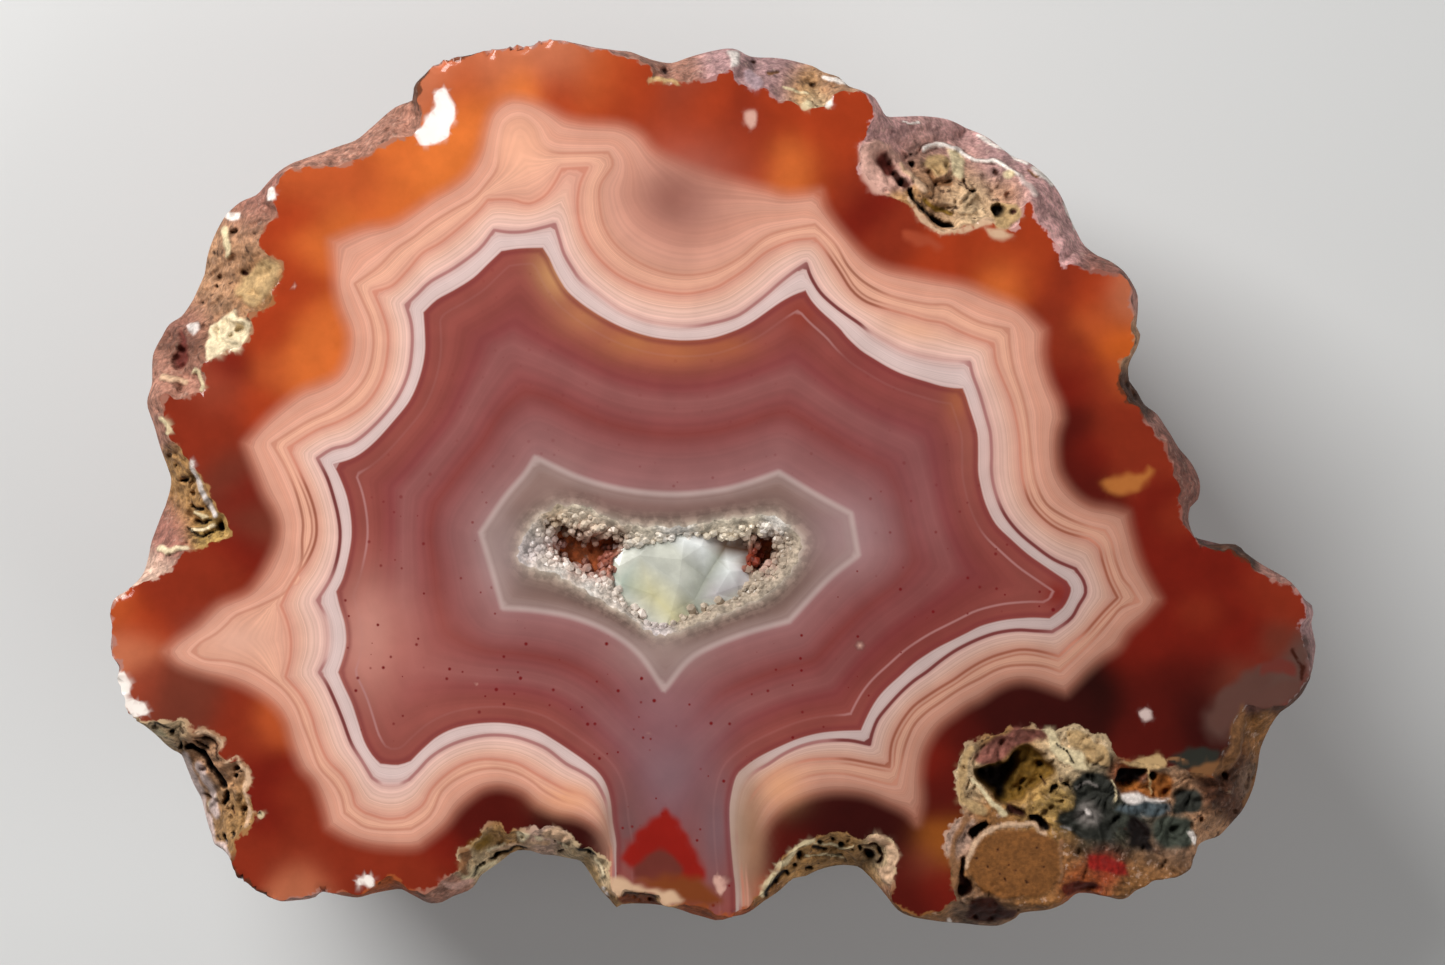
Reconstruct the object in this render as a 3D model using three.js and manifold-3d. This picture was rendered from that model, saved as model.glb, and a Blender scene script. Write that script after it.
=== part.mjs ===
// Agate specimen: the polished half of a banded nodule, lying on its rough domed back with the polished
// face up. Millimetres, +Z up. The origin is the middle of the footprint, on the surface that it lies on.

import * as THREE from 'three';
import { mergeVertices } from 'three/addons/utils/BufferGeometryUtils.js';
import Module from 'manifold-3d';

const wasm = await Module();
wasm.setup();

// Driving dimensions
const FACE_HEIGHT = 30;
const OVER_FACE = FACE_HEIGHT + 1;
const REST_SPOT = { x: -2, y: -2, halfLength: 15, halfWidth: 11 };
const GAP = 0.3;
const COLUMNS = 176;
const HOLLOW_COLUMNS = 40;
const HOLE_COLUMNS = 18;
const CRYSTAL_SIDES = 6;
const DOME_RINGS = 11;
const WELD = 1e-4;

// The rough skin leaves the edge of the face at this depth, and goes deeper where it reaches further out.
// It rounds off with the power, through a ring at each share of its width.
const SKIN_DROP = 2;
const SKIN_SLOPE = 1.1;
const RIM_POWER = 1.5;
const RIM_SHARES = [0.45, 0];

// The notches of the outline fade out over the first part of the way down, and the back is a full dome. The
// outline without its notches is the mean of its reach over these turns, in radians.
const FINE_FADE = 4;
const DOME_FULLNESS = 0.8;
const SMOOTHING_TURNS = [-0.3, -0.2, -0.1, 0, 0.1, 0.2, 0.3];

// Lumps on the skin. Multiples of the two steps, less their whole part, lie evenly over a square.
const LUMP_COUNT = 80;
const LUMP_SIZE = { least: 4, spread: 4 };
const LUMP_STEEPNESS = 0.24;
const LUMP_SWELL = 0.7;
const SKIN_RADIUS = 34;
const SKIN_LENGTH = 42;
const EVEN_STEPS = [0.75487767, 0.56984029];
const GOLDEN_STEP = 0.618034;

// The hollow in the middle and its crystals
const HOLLOW_DEPTH = 10;
const CRUST_TOP = 1.9;
const CRYSTAL_LIMIT = 0.15;
const HOLLOW_MIDDLE = new THREE.Vector2(-3.5, -6.2);

// The widest outline of the stone, seen from above, clockwise from the left
const STONE_OUTLINE = [
  [-39.7, 15.0], [-38.9, 17.5], [-37.9, 19.8], [-36.1, 21.6], [-34.2, 22.5], [-32.0, 24.3], [-28.6, 25.7],
  [-26.0, 27.2], [-24.6, 28.5], [-22.8, 29.1], [-22.5, 30.4], [-21.1, 31.6], [-18.0, 32.6], [-14.0, 33.1],
  [-12.0, 33.6], [-8.5, 33.0], [-6.3, 32.8], [-4.3, 32.1], [-2.0, 32.5], [1.0, 33.2], [2.8, 32.6],
  [6.2, 32.4], [8.4, 31.4], [10.2, 30.2], [12.2, 29.3], [13.1, 27.95], [16.0, 28.25], [18.0, 28.2],
  [21.0, 26.9], [23.0, 25.1], [25.0, 23.9], [26.7, 21.6], [27.7, 19.1], [29.1, 17.4], [31.0, 16.2],
  [32.1, 14.3], [32.3, 11.4], [31.6, 9.6], [31.5, 7.9], [32.6, 6.1], [34.4, 4.2], [36.2, 1.8], [37.0, -0.1],
  [36.1, -1.7],
  [36.1, -3.4], [37.1, -4.3], [39.5, -4.6], [41.5, -6.0], [44.1, -7.9], [45.45, -9.7], [45.65, -12.2],
  [45.05, -14.7], [43.85, -16.5], [42.45, -18.0], [41.7, -20.5], [41.35, -22.9], [40.3, -25.0],
  [38.5, -26.7], [36.6, -27.3], [36.0, -29.0], [34.85, -29.7], [32.75, -30.2], [30.65, -31.35],
  [28.55, -30.9], [26.8, -31.5], [25.0, -32.2], [23.2, -32.45], [21.55, -33.55], [19.0, -33.35],
  [16.4, -32.95], [14.2, -32.3], [13.05, -31.05], [11.6, -29.5], [9.9, -28.95], [7.95, -29.35],
  [6.05, -29.85], [4.7, -30.95], [3.0, -32.1], [0.7, -32.9], [-1.6, -32.5], [-4.1, -31.75], [-6.95, -31.75],
  [-7.8, -31.45], [-9.05, -30.0], [-10.1, -28.5], [-11.8, -28.2], [-13.9, -27.75], [-15.45, -28.0],
  [-17.2, -29.3], [-18.15, -30.3], [-19.85, -31.25], [-21.4, -31.7], [-23.6, -30.6], [-26.95, -31.2],
  [-29.4, -30.65], [-30.6, -31.3], [-32.65, -31.45], [-34.7, -30.35], [-36.1, -29.5], [-36.6, -28.1],
  [-37.9, -27.3], [-38.65, -25.6], [-39.8, -22.85], [-40.5, -20.55], [-42.3, -18.9], [-43.9, -17.1],
  [-44.4, -15.9], [-44.95, -13.7], [-45.6, -12.25], [-45.35, -10.95], [-45.5, -9.25], [-44.1, -7.85],
  [-43.1, -6.5], [-42.85, -4.3], [-42.0, -1.6], [-41.3, 0.5], [-42.0, 2.95], [-42.95, 5.85], [-42.65, 7.55],
  [-42.85, 9.5], [-41.8, 12.35], [-40.25, 13.9],
];

// The edge of the polished face; outside it the skin and the matrix are rough and fall away
const FACE_OUTLINE = [
  [-32.8, 15.0], [-32.6, 16.3], [-34.1, 18.2], [-32.9, 20.2], [-32.8, 22.6], [-30.8, 23.9], [-27.5, 24.2],
  [-25.2, 25.4], [-22.9, 26.2], [-22.0, 27.3], [-22.3, 29.9], [-21.2, 31.2], [-18.0, 32.4], [-14.0, 33.0],
  [-12.0, 33.3], [-9.0, 32.7], [-5.4, 31.8], [-4.6, 30.5], [-3.2, 30.1], [-0.5, 30.5], [1.4, 31.0],
  [2.4, 29.9], [4.0, 29.8], [5.2, 28.8], [7.3, 28.4], [8.9, 28.6], [9.6, 29.5], [11.3, 29.2], [11.9, 27.2],
  [11.1, 25.8], [11.1, 23.8], [12.2, 22.2], [14.2, 21.3], [15.5, 20.3], [17.3, 19.1], [20.6, 19.8],
  [22.0, 19.1], [23.1, 20.1], [23.9, 21.2], [24.6, 19.3], [25.7, 18.0], [26.4, 16.4], [28.8, 16.3],
  [30.4, 15.8], [31.4, 14.0], [31.6, 11.5], [31.2, 9.6], [30.5, 8.0], [31.2, 6.2], [32.4, 5.1], [33.8, 3.0],
  [34.7, 0.8], [35.0, -1.6], [35.6, -3.4], [36.4, -4.7], [39.0, -5.0], [40.5, -6.3], [42.7, -7.3],
  [44.2, -8.4], [44.5, -9.2], [44.0, -11.2], [44.7, -14.0], [43.0, -16.5], [40.5, -16.6], [39.3, -17.5],
  [38.2, -20.2], [37.2, -23.7], [36.1, -25.6], [35.7, -27.3], [34.8, -29.2], [31.8, -30.0], [30.5, -30.6],
  [28.8, -30.0], [26.8, -29.8], [26.0, -31.2], [20.0, -31.3], [18.3, -31.3], [16.0, -32.2], [14.6, -31.9],
  [13.4, -30.5], [13.2, -28.8], [13.2, -27.0], [11.8, -26.2], [9.0, -26.1], [7.0, -26.9], [5.1, -28.4],
  [3.9, -30.2], [2.0, -31.9], [0.8, -32.3], [-1.0, -31.6], [-3.8, -31.2], [-5.5, -30.5], [-6.9, -31.0],
  [-7.9, -28.9], [-9.2, -27.4], [-10.6, -26.8], [-12.0, -25.6], [-14.9, -26.0], [-17.0, -25.4],
  [-18.3, -27.0], [-19.6, -28.8], [-21.0, -30.4], [-22.5, -30.5], [-24.5, -29.3], [-27.0, -30.7],
  [-29.5, -30.3], [-32.5, -31.0], [-34.3, -30.0], [-36.0, -27.8], [-34.8, -25.5], [-34.9, -21.5],
  [-37.0, -20.3], [-37.4, -18.7], [-39.3, -18.5], [-40.5, -17.8], [-43.2, -17.5], [-44.0, -15.8],
  [-44.6, -13.5], [-45.2, -11.0], [-45.2, -9.3], [-43.9, -7.8], [-42.0, -7.0], [-40.3, -5.5],
  [-37.6, -4.3], [-36.3, -3.5], [-36.9, -2.1], [-38.6, 0.8], [-40.9, 3.6], [-41.5, 6.2], [-39.3, 6.7],
  [-38.1, 7.8], [-38.2, 9.1], [-36.0, 10.1], [-34.9, 11.2], [-34.7, 12.2], [-33.3, 13.7],
];

// The mouth of the central hollow, and the two dark holes left between its crystals. Each sinks as a bowl:
// how much of its outline it still fills at each share of its depth.
const BOWL = [
  { share: 0, deep: 1 }, { share: 0.45, deep: 0.97 }, { share: 0.8, deep: 0.65 }, { share: 1, deep: 0.2 },
];
const HOLLOW_OUTLINE = [
  [-13.9, -3.6], [-13.25, -2.5], [-11.7, -1.6], [-9.05, -1.8], [-6.9, -2.9], [-3.8, -3.15], [-0.7, -2.9],
  [1.95, -2.5], [4.35, -2.25], [6.3, -3.8], [6.55, -5.1], [5.45, -6.9], [3.7, -8.4], [1.05, -9.5],
  [-1.6, -10.6], [-3.8, -11.3], [-5.55, -10.4], [-7.75, -9.1], [-9.95, -7.75], [-11.7, -6.65],
  [-13.9, -6.2], [-14.8, -5.1],
];
const LEFT_HOLE = {
  outline: [
    [-12.8, -2.7], [-11.7, -2.35], [-9.05, -3.6], [-7.3, -3.25], [-6.1, -4.25], [-7.75, -5.55], [-8.1, -6.9],
    [-10.6, -6.45], [-11.9, -5.9], [-12.15, -4.7],
  ],
  middle: new THREE.Vector2(-9.8, -4.7),
  depth: 7,
};
const RIGHT_HOLE = {
  outline: [[2.4, -3.15], [4.35, -3.35], [5.1, -4.45], [4.35, -5.8], [3.25, -6.65], [2.7, -5.8], [2.4, -4.7]],
  middle: new THREE.Vector2(3.6, -4.8),
  depth: 6,
};

// Crystals of the hollow: top is how far below the face a tip ends
const SMALL_CRYSTAL = { length: 2.6, tip: 0.8 };
const SMALL_GROWTH = { least: 0.8, spread: 0.5 };
const CRYSTAL_ROWS = [
  { count: 26, share: 0.93, lean: 0.25, radius: 0.75, top: 0 },
  { count: 18, share: 0.81, lean: 0.6, radius: 0.7, top: 0.9 },
];
const BIG_CRYSTALS = [
  {
    place: { x: -4.2, y: -7.2, top: 0.2 },
    tilt: { x: -0.05, y: -0.12 },
    form: { radius: 4.3, length: 8, tip: 2.6, flatness: 0.9, turn: 0.3 },
  },
  {
    place: { x: -0.4, y: -6.4, top: 0.5 },
    tilt: { x: 0.1, y: 0.2 },
    form: { radius: 3.0, length: 7, tip: 1.9, flatness: 0.95, turn: 0.1 },
  },
  {
    place: { x: 1.3, y: -5.4, top: 1.6 },
    tilt: { x: -0.1, y: 0.25 },
    form: { radius: 1.9, length: 6, tip: 1.4, flatness: 1, turn: 0.4 },
  },
];

// Places in the matrix of the rim, read from above
const YELLOW_HOLE = {
  outline: [
    [19.6, -21.3], [21.5, -21.1], [22.3, -20.3], [24.0, -19.4], [24.8, -20.0], [25.2, -21.5], [23.7, -23.2],
    [21.5, -23.9], [20.2, -22.1],
  ],
  middle: new THREE.Vector2(22.6, -21.6),
  depth: 3,
};
const TAN_PLUG = {
  x: 22.6,
  y: -28.4,
  halfLength: 3.45,
  halfWidth: 2.75,
  groove: { width: 0.13, depth: 0.6, sides: 5, columns: 26 },
};
const CREVICE_SIDES = 6;
const CREVICE_END_RINGS = 2;
const CREVICES = [
  { path: [[12.7, 24.7], [13.1, 23.9]], width: 0.9, depth: 1.8 },
  { path: [[13.8, 23.0], [14.8, 21.7], [15.6, 20.8], [17.4, 19.8]], width: 0.5, depth: 1.2 },
  { path: [[21.1, 20.6], [21.7, 20.5]], width: 0.8, depth: 1.4 },
  { path: [[22.2, -24.4], [23.6, -25.0], [25.2, -25.8]], width: 0.8, depth: 1.5 },
  { path: [[19.1, -26.4], [20.6, -25.4]], width: 0.7, depth: 1.3 },
  { path: [[30.7, -21.7], [32.2, -22.0]], width: 1.2, depth: 1.5 },
  { path: [[-40.7, -19.9], [-39.3, -19.7], [-37.9, -21.0]], width: 0.7, depth: 1.3 },
  { path: [[-37.9, -21.0], [-37.0, -22.4], [-36.8, -24.0]], width: 0.7, depth: 1.3 },
  { path: [[-36.9, -26.3], [-36.9, -27.0]], width: 0.7, depth: 1.2 },
  { path: [[-40.3, 9.2], [-40.3, 11.0]], width: 0.9, depth: 1.8 },
  { path: [[-39.0, -1.5], [-38.5, -2.8]], width: 0.9, depth: 1.2 },
  { path: [[-40.2, 0.4], [-40.5, 1.5]], width: 0.7, depth: 1.2 },
  { path: [[-36.3, 17.5], [-37.4, 18.6]], width: 0.9, depth: 1.2 },
  { path: [[-14.6, -26.9], [-13.0, -26.6]], width: 0.8, depth: 1.2 },
  { path: [[-10.9, -27.3], [-9.7, -28.2]], width: 0.8, depth: 1.2 },
  { path: [[8.4, -27.2], [10.0, -27.2]], width: 0.8, depth: 1.2 },
  { path: [[5.6, -29.1], [6.6, -28.2]], width: 0.8, depth: 1.2 },
];

function between(from, to, share) {
  return from + (to - from) * share;
}

function points(outline) {
  return outline.map(([x, y]) => new THREE.Vector2(x, y));
}

// How far an outline reaches from a centre in one direction: the furthest edge that the ray crosses.
function reach(outline, angle, centre = new THREE.Vector2()) {
  const ray = new THREE.Vector2(Math.cos(angle), Math.sin(angle));
  let furthest = 0;
  outline.forEach((corner, index) => {
    const start = corner.clone().sub(centre);
    const edge = outline[(index + 1) % outline.length].clone().sub(corner);
    const turn = ray.cross(edge);
    const along = -ray.cross(start) / turn;
    if (along >= 0 && along <= 1) {
      furthest = Math.max(furthest, start.cross(edge) / turn);
    }
  });
  return furthest;
}

// An outline without its small notches, for the deeper part of the skin
function smoothReach(outline, angle) {
  const total = SMOOTHING_TURNS.reduce((sum, turn) => sum + reach(outline, angle + turn), 0);
  return total / SMOOTHING_TURNS.length;
}

// A geometry of rings round a vertical axis. place gives the point of one ring in one direction. The
// first and the last ring are single points, so the geometry is closed.
function ringed(rings, columns, place) {
  const profile = Array.from({ length: rings }, (_, ring) => new THREE.Vector2(1, ring));
  profile[0].x = 0;
  profile[rings - 1].x = 0;
  const geometry = new THREE.LatheGeometry(profile, columns);
  const position = geometry.attributes.position;
  for (let column = 0; column <= columns; column += 1) {
    const angle = ((column % columns) / columns) * 2 * Math.PI;
    for (let ring = 0; ring < rings; ring += 1) {
      const point = place(ring, angle);
      position.setXYZ(column * rings + ring, point.x, point.y, point.z);
    }
  }
  return geometry;
}

// A closed solid whose rings all follow one outline, each a share of its reach, less an even inset
function outlined(outline, centre, rings, columns, inset = 0) {
  return ringed(rings.length, columns, (ring, angle) => {
    const [share, z] = rings[ring];
    const radius = Math.max(0, share * (reach(outline, angle, centre) - inset));
    return new THREE.Vector3(
      centre.x + radius * Math.cos(angle), centre.y + radius * Math.sin(angle), z,
    );
  });
}

function toSolid(geometry) {
  const bare = geometry.clone();
  bare.deleteAttribute('normal');
  bare.deleteAttribute('uv');
  const merged = mergeVertices(bare, WELD);
  const corners = merged.index.array;
  const kept = [];
  for (let start = 0; start < corners.length; start += 3) {
    const [a, b, c] = corners.slice(start, start + 3);
    if (a !== b && b !== c && c !== a) {
      kept.push(a, b, c);
    }
  }
  return new wasm.Manifold(new wasm.Mesh({
    numProp: 3,
    vertProperties: new Float32Array(merged.attributes.position.array),
    triVerts: new Uint32Array(kept),
  }));
}

function toMesh(solid, name, material) {
  const { vertProperties, triVerts } = solid.getMesh();
  const geometry = new THREE.BufferGeometry();
  geometry.setAttribute('position', new THREE.BufferAttribute(vertProperties, 3));
  geometry.setIndex(new THREE.BufferAttribute(triVerts, 1));
  geometry.computeVertexNormals();
  const mesh = new THREE.Mesh(geometry, material);
  mesh.name = name;
  return mesh;
}

function stepShare(index, step) {
  return (index * step) % 1;
}

// Low rounded lumps, spread evenly over the skin
const LUMPS = Array.from({ length: LUMP_COUNT }, (_, index) => ({
  angle: 2 * Math.PI * stepShare(index, EVEN_STEPS[0]),
  level: stepShare(index, EVEN_STEPS[1]),
  size: LUMP_SIZE.least + LUMP_SIZE.spread * stepShare(index, GOLDEN_STEP),
}));

// How far the lumps stand out of the skin: level is 0 at the widest outline and 1 at the spot it rests on
function lumpHeight(angle, level) {
  const total = LUMPS.reduce((sum, lump) => {
    const turn = angle - lump.angle;
    const across = Math.atan2(Math.sin(turn), Math.cos(turn)) * SKIN_RADIUS;
    const down = (level - lump.level) * SKIN_LENGTH;
    const distance = Math.hypot(across, down) / lump.size;
    return sum + LUMP_STEEPNESS * lump.size * Math.exp(-(distance ** 2));
  }, 0);
  return total * Math.sin(Math.PI * Math.min(1, Math.max(0, level)) ** LUMP_SWELL);
}

const stoneOutline = points(STONE_OUTLINE);
const faceOutline = points(FACE_OUTLINE);

// How far below the face the stone is widest
function shoulderDrop(angle) {
  return SKIN_DROP + SKIN_SLOPE * (reach(stoneOutline, angle) - reach(faceOutline, angle));
}

// A point of the domed back, from the widest outline at level 0 to the rest spot at level 1. It stays
// inside the widest outline, so that nothing but the rim shows round the face from above.
function domePoint(angle, level) {
  const turn = (level * Math.PI) / 2;
  const top = FACE_HEIGHT - shoulderDrop(angle);
  const fade = Math.min(1, level * FINE_FADE);
  const wide = between(reach(stoneOutline, angle), smoothReach(stoneOutline, angle), fade);
  const wall = new THREE.Vector2(wide * Math.cos(angle), wide * Math.sin(angle));
  const rest = new THREE.Vector2(
    REST_SPOT.x + REST_SPOT.halfLength * Math.cos(angle),
    REST_SPOT.y + REST_SPOT.halfWidth * Math.sin(angle),
  );
  const outer = rest.clone().lerp(wall, Math.cos(turn) ** DOME_FULLNESS);
  const lump = lumpHeight(angle, level);
  outer.x += lump * Math.cos(turn) * Math.cos(angle);
  outer.y += lump * Math.cos(turn) * Math.sin(angle);
  outer.clampLength(0, reach(stoneOutline, outer.angle()));
  const height = top * (1 - Math.sin(turn)) - lump * Math.sin(turn) * (1 - level);
  return new THREE.Vector3(outer.x, outer.y, height);
}

// A point of the rough rim, from the edge of the face at share 0 to the widest outline at share 1
function rimPoint(angle, share) {
  const radius = between(reach(faceOutline, angle), reach(stoneOutline, angle), share);
  const drop = shoulderDrop(angle) * share ** RIM_POWER;
  return new THREE.Vector3(radius * Math.cos(angle), radius * Math.sin(angle), FACE_HEIGHT - drop);
}

// The whole stone, in rings from the middle of the rest spot up to the middle of the face
function nodule() {
  const rings = [() => new THREE.Vector3(REST_SPOT.x, REST_SPOT.y, 0)];
  for (let ring = DOME_RINGS; ring >= 0; ring -= 1) {
    rings.push((angle) => domePoint(angle, ring / DOME_RINGS));
  }
  RIM_SHARES.forEach((share) => rings.push((angle) => rimPoint(angle, share)));
  rings.push(() => new THREE.Vector3(0, 0, FACE_HEIGHT));
  return ringed(rings.length, COLUMNS, (ring, angle) => rings[ring](angle));
}

// The height of the top of the stone at a place: the flat face, or the rim that falls away outside it
function topHeight(x, y) {
  const angle = Math.atan2(y, x);
  const inner = reach(faceOutline, angle);
  const outer = reach(stoneOutline, angle);
  const share = Math.max(0, (Math.hypot(x, y) - inner) / (outer - inner));
  return rimPoint(angle, share).z;
}

// A crevice is a row of round-ended cuts, half sunk in the surface that they follow
function creviceCuts({ path, width, depth }) {
  return path.slice(1).map(([endX, endY], index) => {
    const [startX, startY] = path[index];
    const start = new THREE.Vector3(startX, startY, topHeight(startX, startY));
    const end = new THREE.Vector3(endX, endY, topHeight(endX, endY));
    const run = end.clone().sub(start);
    const cut = new THREE.CapsuleGeometry(width / 2, run.length(), CREVICE_END_RINGS, CREVICE_SIDES);
    cut.scale(1, 1, (2 * depth) / width);
    cut.lookAt(new THREE.Vector3(0, 0, 1));
    cut.rotateZ(-Math.PI / 2 + Math.atan2(run.y, run.x));
    const middle = start.add(end).multiplyScalar(0.5);
    cut.translate(middle.x, middle.y, middle.z);
    return toSolid(cut);
  });
}

// The rings of a bowl of one depth below the face, closed at the top
function bowlRings(depth, top) {
  const sunk = BOWL.map(({ share, deep }) => [share, FACE_HEIGHT - deep * depth]);
  return [...sunk, [1, top], [0, top]];
}

// The round tan plug stands free in a shallow groove of its own shape
function plugGroove() {
  const { x, y, halfLength, halfWidth, groove } = TAN_PLUG;
  const ring = new THREE.TorusGeometry(1, groove.width, groove.sides, groove.columns);
  ring.scale(halfLength, halfWidth, groove.depth / groove.width);
  ring.translate(x, y, FACE_HEIGHT);
  return ring;
}

function agateStone() {
  const hollow = outlined(
    points(HOLLOW_OUTLINE), HOLLOW_MIDDLE, bowlRings(HOLLOW_DEPTH, OVER_FACE), HOLLOW_COLUMNS,
  );
  const yellowHole = outlined(
    points(YELLOW_HOLE.outline), YELLOW_HOLE.middle, bowlRings(YELLOW_HOLE.depth, OVER_FACE), HOLE_COLUMNS,
  );
  const cuts = [hollow, yellowHole, plugGroove()].map(toSolid).concat(CREVICES.flatMap(creviceCuts));
  return wasm.Manifold.difference([toSolid(nodule()), ...cuts]);
}

// A six-sided crystal with a pointed end. It stands on z = 0 with its tip at z = length.
function crystal({ radius, length, tip, flatness = 1, turn = 0 }) {
  const profile = [[0, 0], [radius, 0], [radius, length - tip], [0, length]];
  const shape = new THREE.LatheGeometry(profile.map(([x, y]) => new THREE.Vector2(x, y)), CRYSTAL_SIDES);
  shape.rotateX(Math.PI / 2);
  shape.scale(1, flatness, 1);
  shape.rotateZ(turn);
  return shape;
}

// Small crystals stand round the mouth of the hollow in two rows, and lean towards its middle
function smallCrystals(outline) {
  return CRYSTAL_ROWS.flatMap(({ count, share, lean, radius, top }) => (
    Array.from({ length: count }, (_, index) => {
      const angle = (index / count) * 2 * Math.PI;
      const distance = share * reach(outline, angle, HOLLOW_MIDDLE);
      const growth = SMALL_GROWTH.least + SMALL_GROWTH.spread * stepShare(index, GOLDEN_STEP);
      const shape = crystal({ ...SMALL_CRYSTAL, radius: radius * growth });
      shape.rotateY(-lean);
      shape.rotateZ(angle);
      shape.translate(
        HOLLOW_MIDDLE.x + distance * Math.cos(angle),
        HOLLOW_MIDDLE.y + distance * Math.sin(angle),
        FACE_HEIGHT - top - SMALL_CRYSTAL.length,
      );
      return toSolid(shape);
    })
  ));
}

// The big pale crystal fills the middle of the hollow: blocky crystals, grown into each other
function bigCrystals() {
  return BIG_CRYSTALS.map(({ place, tilt, form }) => {
    const shape = crystal(form);
    shape.translate(0, 0, -form.length);
    shape.rotateX(tilt.x);
    shape.rotateY(tilt.y);
    shape.translate(place.x, place.y, FACE_HEIGHT - place.top);
    return toSolid(shape);
  });
}

// The crust's lining fills the hollow but for a thin gap and two holes, and carries all the crystals
function crystalCrust() {
  const outline = points(HOLLOW_OUTLINE);
  const [base, limit] = [CRUST_TOP, CRYSTAL_LIMIT].map((drop) => {
    const rings = bowlRings(HOLLOW_DEPTH - GAP, FACE_HEIGHT - drop);
    return toSolid(outlined(outline, HOLLOW_MIDDLE, rings, HOLLOW_COLUMNS, GAP));
  });
  const holes = [LEFT_HOLE, RIGHT_HOLE].map((hole) => toSolid(
    outlined(points(hole.outline), hole.middle, bowlRings(hole.depth, OVER_FACE), HOLE_COLUMNS),
  ));
  const lining = wasm.Manifold.difference([base, ...holes]);
  return wasm.Manifold.union([lining, ...smallCrystals(outline), ...bigCrystals()]).intersect(limit);
}

const agateMaterial = new THREE.MeshStandardMaterial({ color: '#b4583a', roughness: 0.3, metalness: 0 });
const quartzMaterial = new THREE.MeshStandardMaterial({ color: '#cfc6b4', roughness: 0.2, metalness: 0 });

const specimen = new THREE.Group();
specimen.add(toMesh(agateStone(), 'agate_stone', agateMaterial));
specimen.add(toMesh(crystalCrust(), 'crystal_crust', quartzMaterial));

export default specimen;
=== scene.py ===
"""Agate specimen: a polished nodule half with its bands, matrix pockets, rind and crystal hollow.

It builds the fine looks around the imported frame. Lengths are in millimetres until a mesh is made.
"""

import math
import random

import bpy
import numpy as np
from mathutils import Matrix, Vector, kdtree, noise
from mathutils.geometry import delaunay_2d_cdt

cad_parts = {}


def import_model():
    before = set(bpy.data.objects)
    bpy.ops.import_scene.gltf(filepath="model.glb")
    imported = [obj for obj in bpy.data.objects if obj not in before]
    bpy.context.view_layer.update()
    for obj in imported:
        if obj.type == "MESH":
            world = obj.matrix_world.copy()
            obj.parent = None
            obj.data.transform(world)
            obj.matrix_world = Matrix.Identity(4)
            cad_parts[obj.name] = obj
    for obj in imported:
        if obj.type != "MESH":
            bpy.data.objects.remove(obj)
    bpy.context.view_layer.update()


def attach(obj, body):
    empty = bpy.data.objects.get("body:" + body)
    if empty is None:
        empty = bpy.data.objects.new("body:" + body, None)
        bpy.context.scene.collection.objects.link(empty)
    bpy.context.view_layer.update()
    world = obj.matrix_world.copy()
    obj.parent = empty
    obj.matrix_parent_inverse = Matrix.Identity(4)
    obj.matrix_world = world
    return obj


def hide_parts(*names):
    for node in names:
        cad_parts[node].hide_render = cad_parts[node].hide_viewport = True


MM = 0.001
TINY = 1e-6

# The seeds of the noise, which would otherwise start from the clock, and of the small crystals' random draws.
NOISE_SEED = 5
CRYSTAL_SEED = 11

# The stone: its polished face, the spot that it rests on, how its rim falls away, and its domed back.
FACE = 30.0
REST_MIDDLE = (-2.0, -2.0)
REST_SIZE = (15.0, 11.0)
SKIN_DROP = 2.0
SKIN_SLOPE = 1.1
RIM_POWER = 1.5
DOME_FULLNESS = 0.8
DOME_RINGS = 44
FINE_FADE = 4.0
SMOOTHING_ANGLES = (-0.3, -0.2, -0.1, 0.0, 0.1, 0.2, 0.3)
REACH_ANGLES = 1441

# The lumps of the back, spread evenly and irregularly over it.
LUMP_COUNT = 80
LUMP_LEAST = 4.0
LUMP_SPREAD = 4.0
LUMP_STEEPNESS = 0.24
LUMP_FADE = 0.7
SKIN_RADIUS = 34.0
SKIN_LENGTH = 42.0
EVEN_STEPS = (0.75487767, 0.56984029)
GOLDEN_STEP = 0.618034

# The grain of the back: height and size of its roughness, depth and size of its pits, and how soon it comes
# below the rim and goes above the rest spot.
BACK_ROUGHNESS = (0.7, 4.0)
BACK_PITS = (0.5, 2.0)
GRAIN_RISE = 6
GRAIN_FALL = 8

# Steps along the outlines and between the other points of the top, and how many steps those keep clear.
EDGE_STEP = 0.42
LINE_STEP = 0.4
CRUMB_STEP = 0.24
COARSE_STEP = 0.52
FINE_STEP = 0.15
CLEARANCE = 0.55
PLAN_REACH = (47, 35)
MERGE_DISTANCE = 1e-5

# How the outlines crumble: size of the crumbs and how far they stand out.
FACE_CRUMBS = (1.1, 0.34)
DRUSE_CRUMBS = (0.6, 0.3)
GROUP_CRUMBS = (0.9, 0.3)

# The relief of the matrix: size and reach of its warp, height and size of each pattern, where two of them
# start, how often the cords bend, how far it all lies under the face, and how it begins at its edge.
MATRIX_WARP = (1.3, 0.5)
LARGE_LUMPS = (0.6, 1.8)
SMALL_LUMPS = (0.3, 0.8)
SMALL_LUMP_START = 5
CORDS = (0.16, 2.6)
CORD_BENDS = 20
PORES = (0.8, 1.3)
PORE_START = 9
GRIT = (0.1, 0.5)
MATRIX_SINK = 0.75
MATRIX_MARGIN = 0.6
MATRIX_STEP = 0.05

# The crisp details: size and reach of their warp, how far they can reach beyond their outline, and where the
# edges of streaks and spots end and begin, as shares of their half width.
DETAIL_WARP = (0.9, 0.3)
DETAIL_ROOM = 1
STREAK_EDGE = (1.4, 0.5)
SPOT_EDGE = (1.3, 0.6)

# How little the ground colour weighs beside the named places.
GROUND_WEIGHT = 1e-3

# What the mesh stores away from the face: the last band and a far distance.
LAST_BAND = 6
FAR = 50

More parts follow.
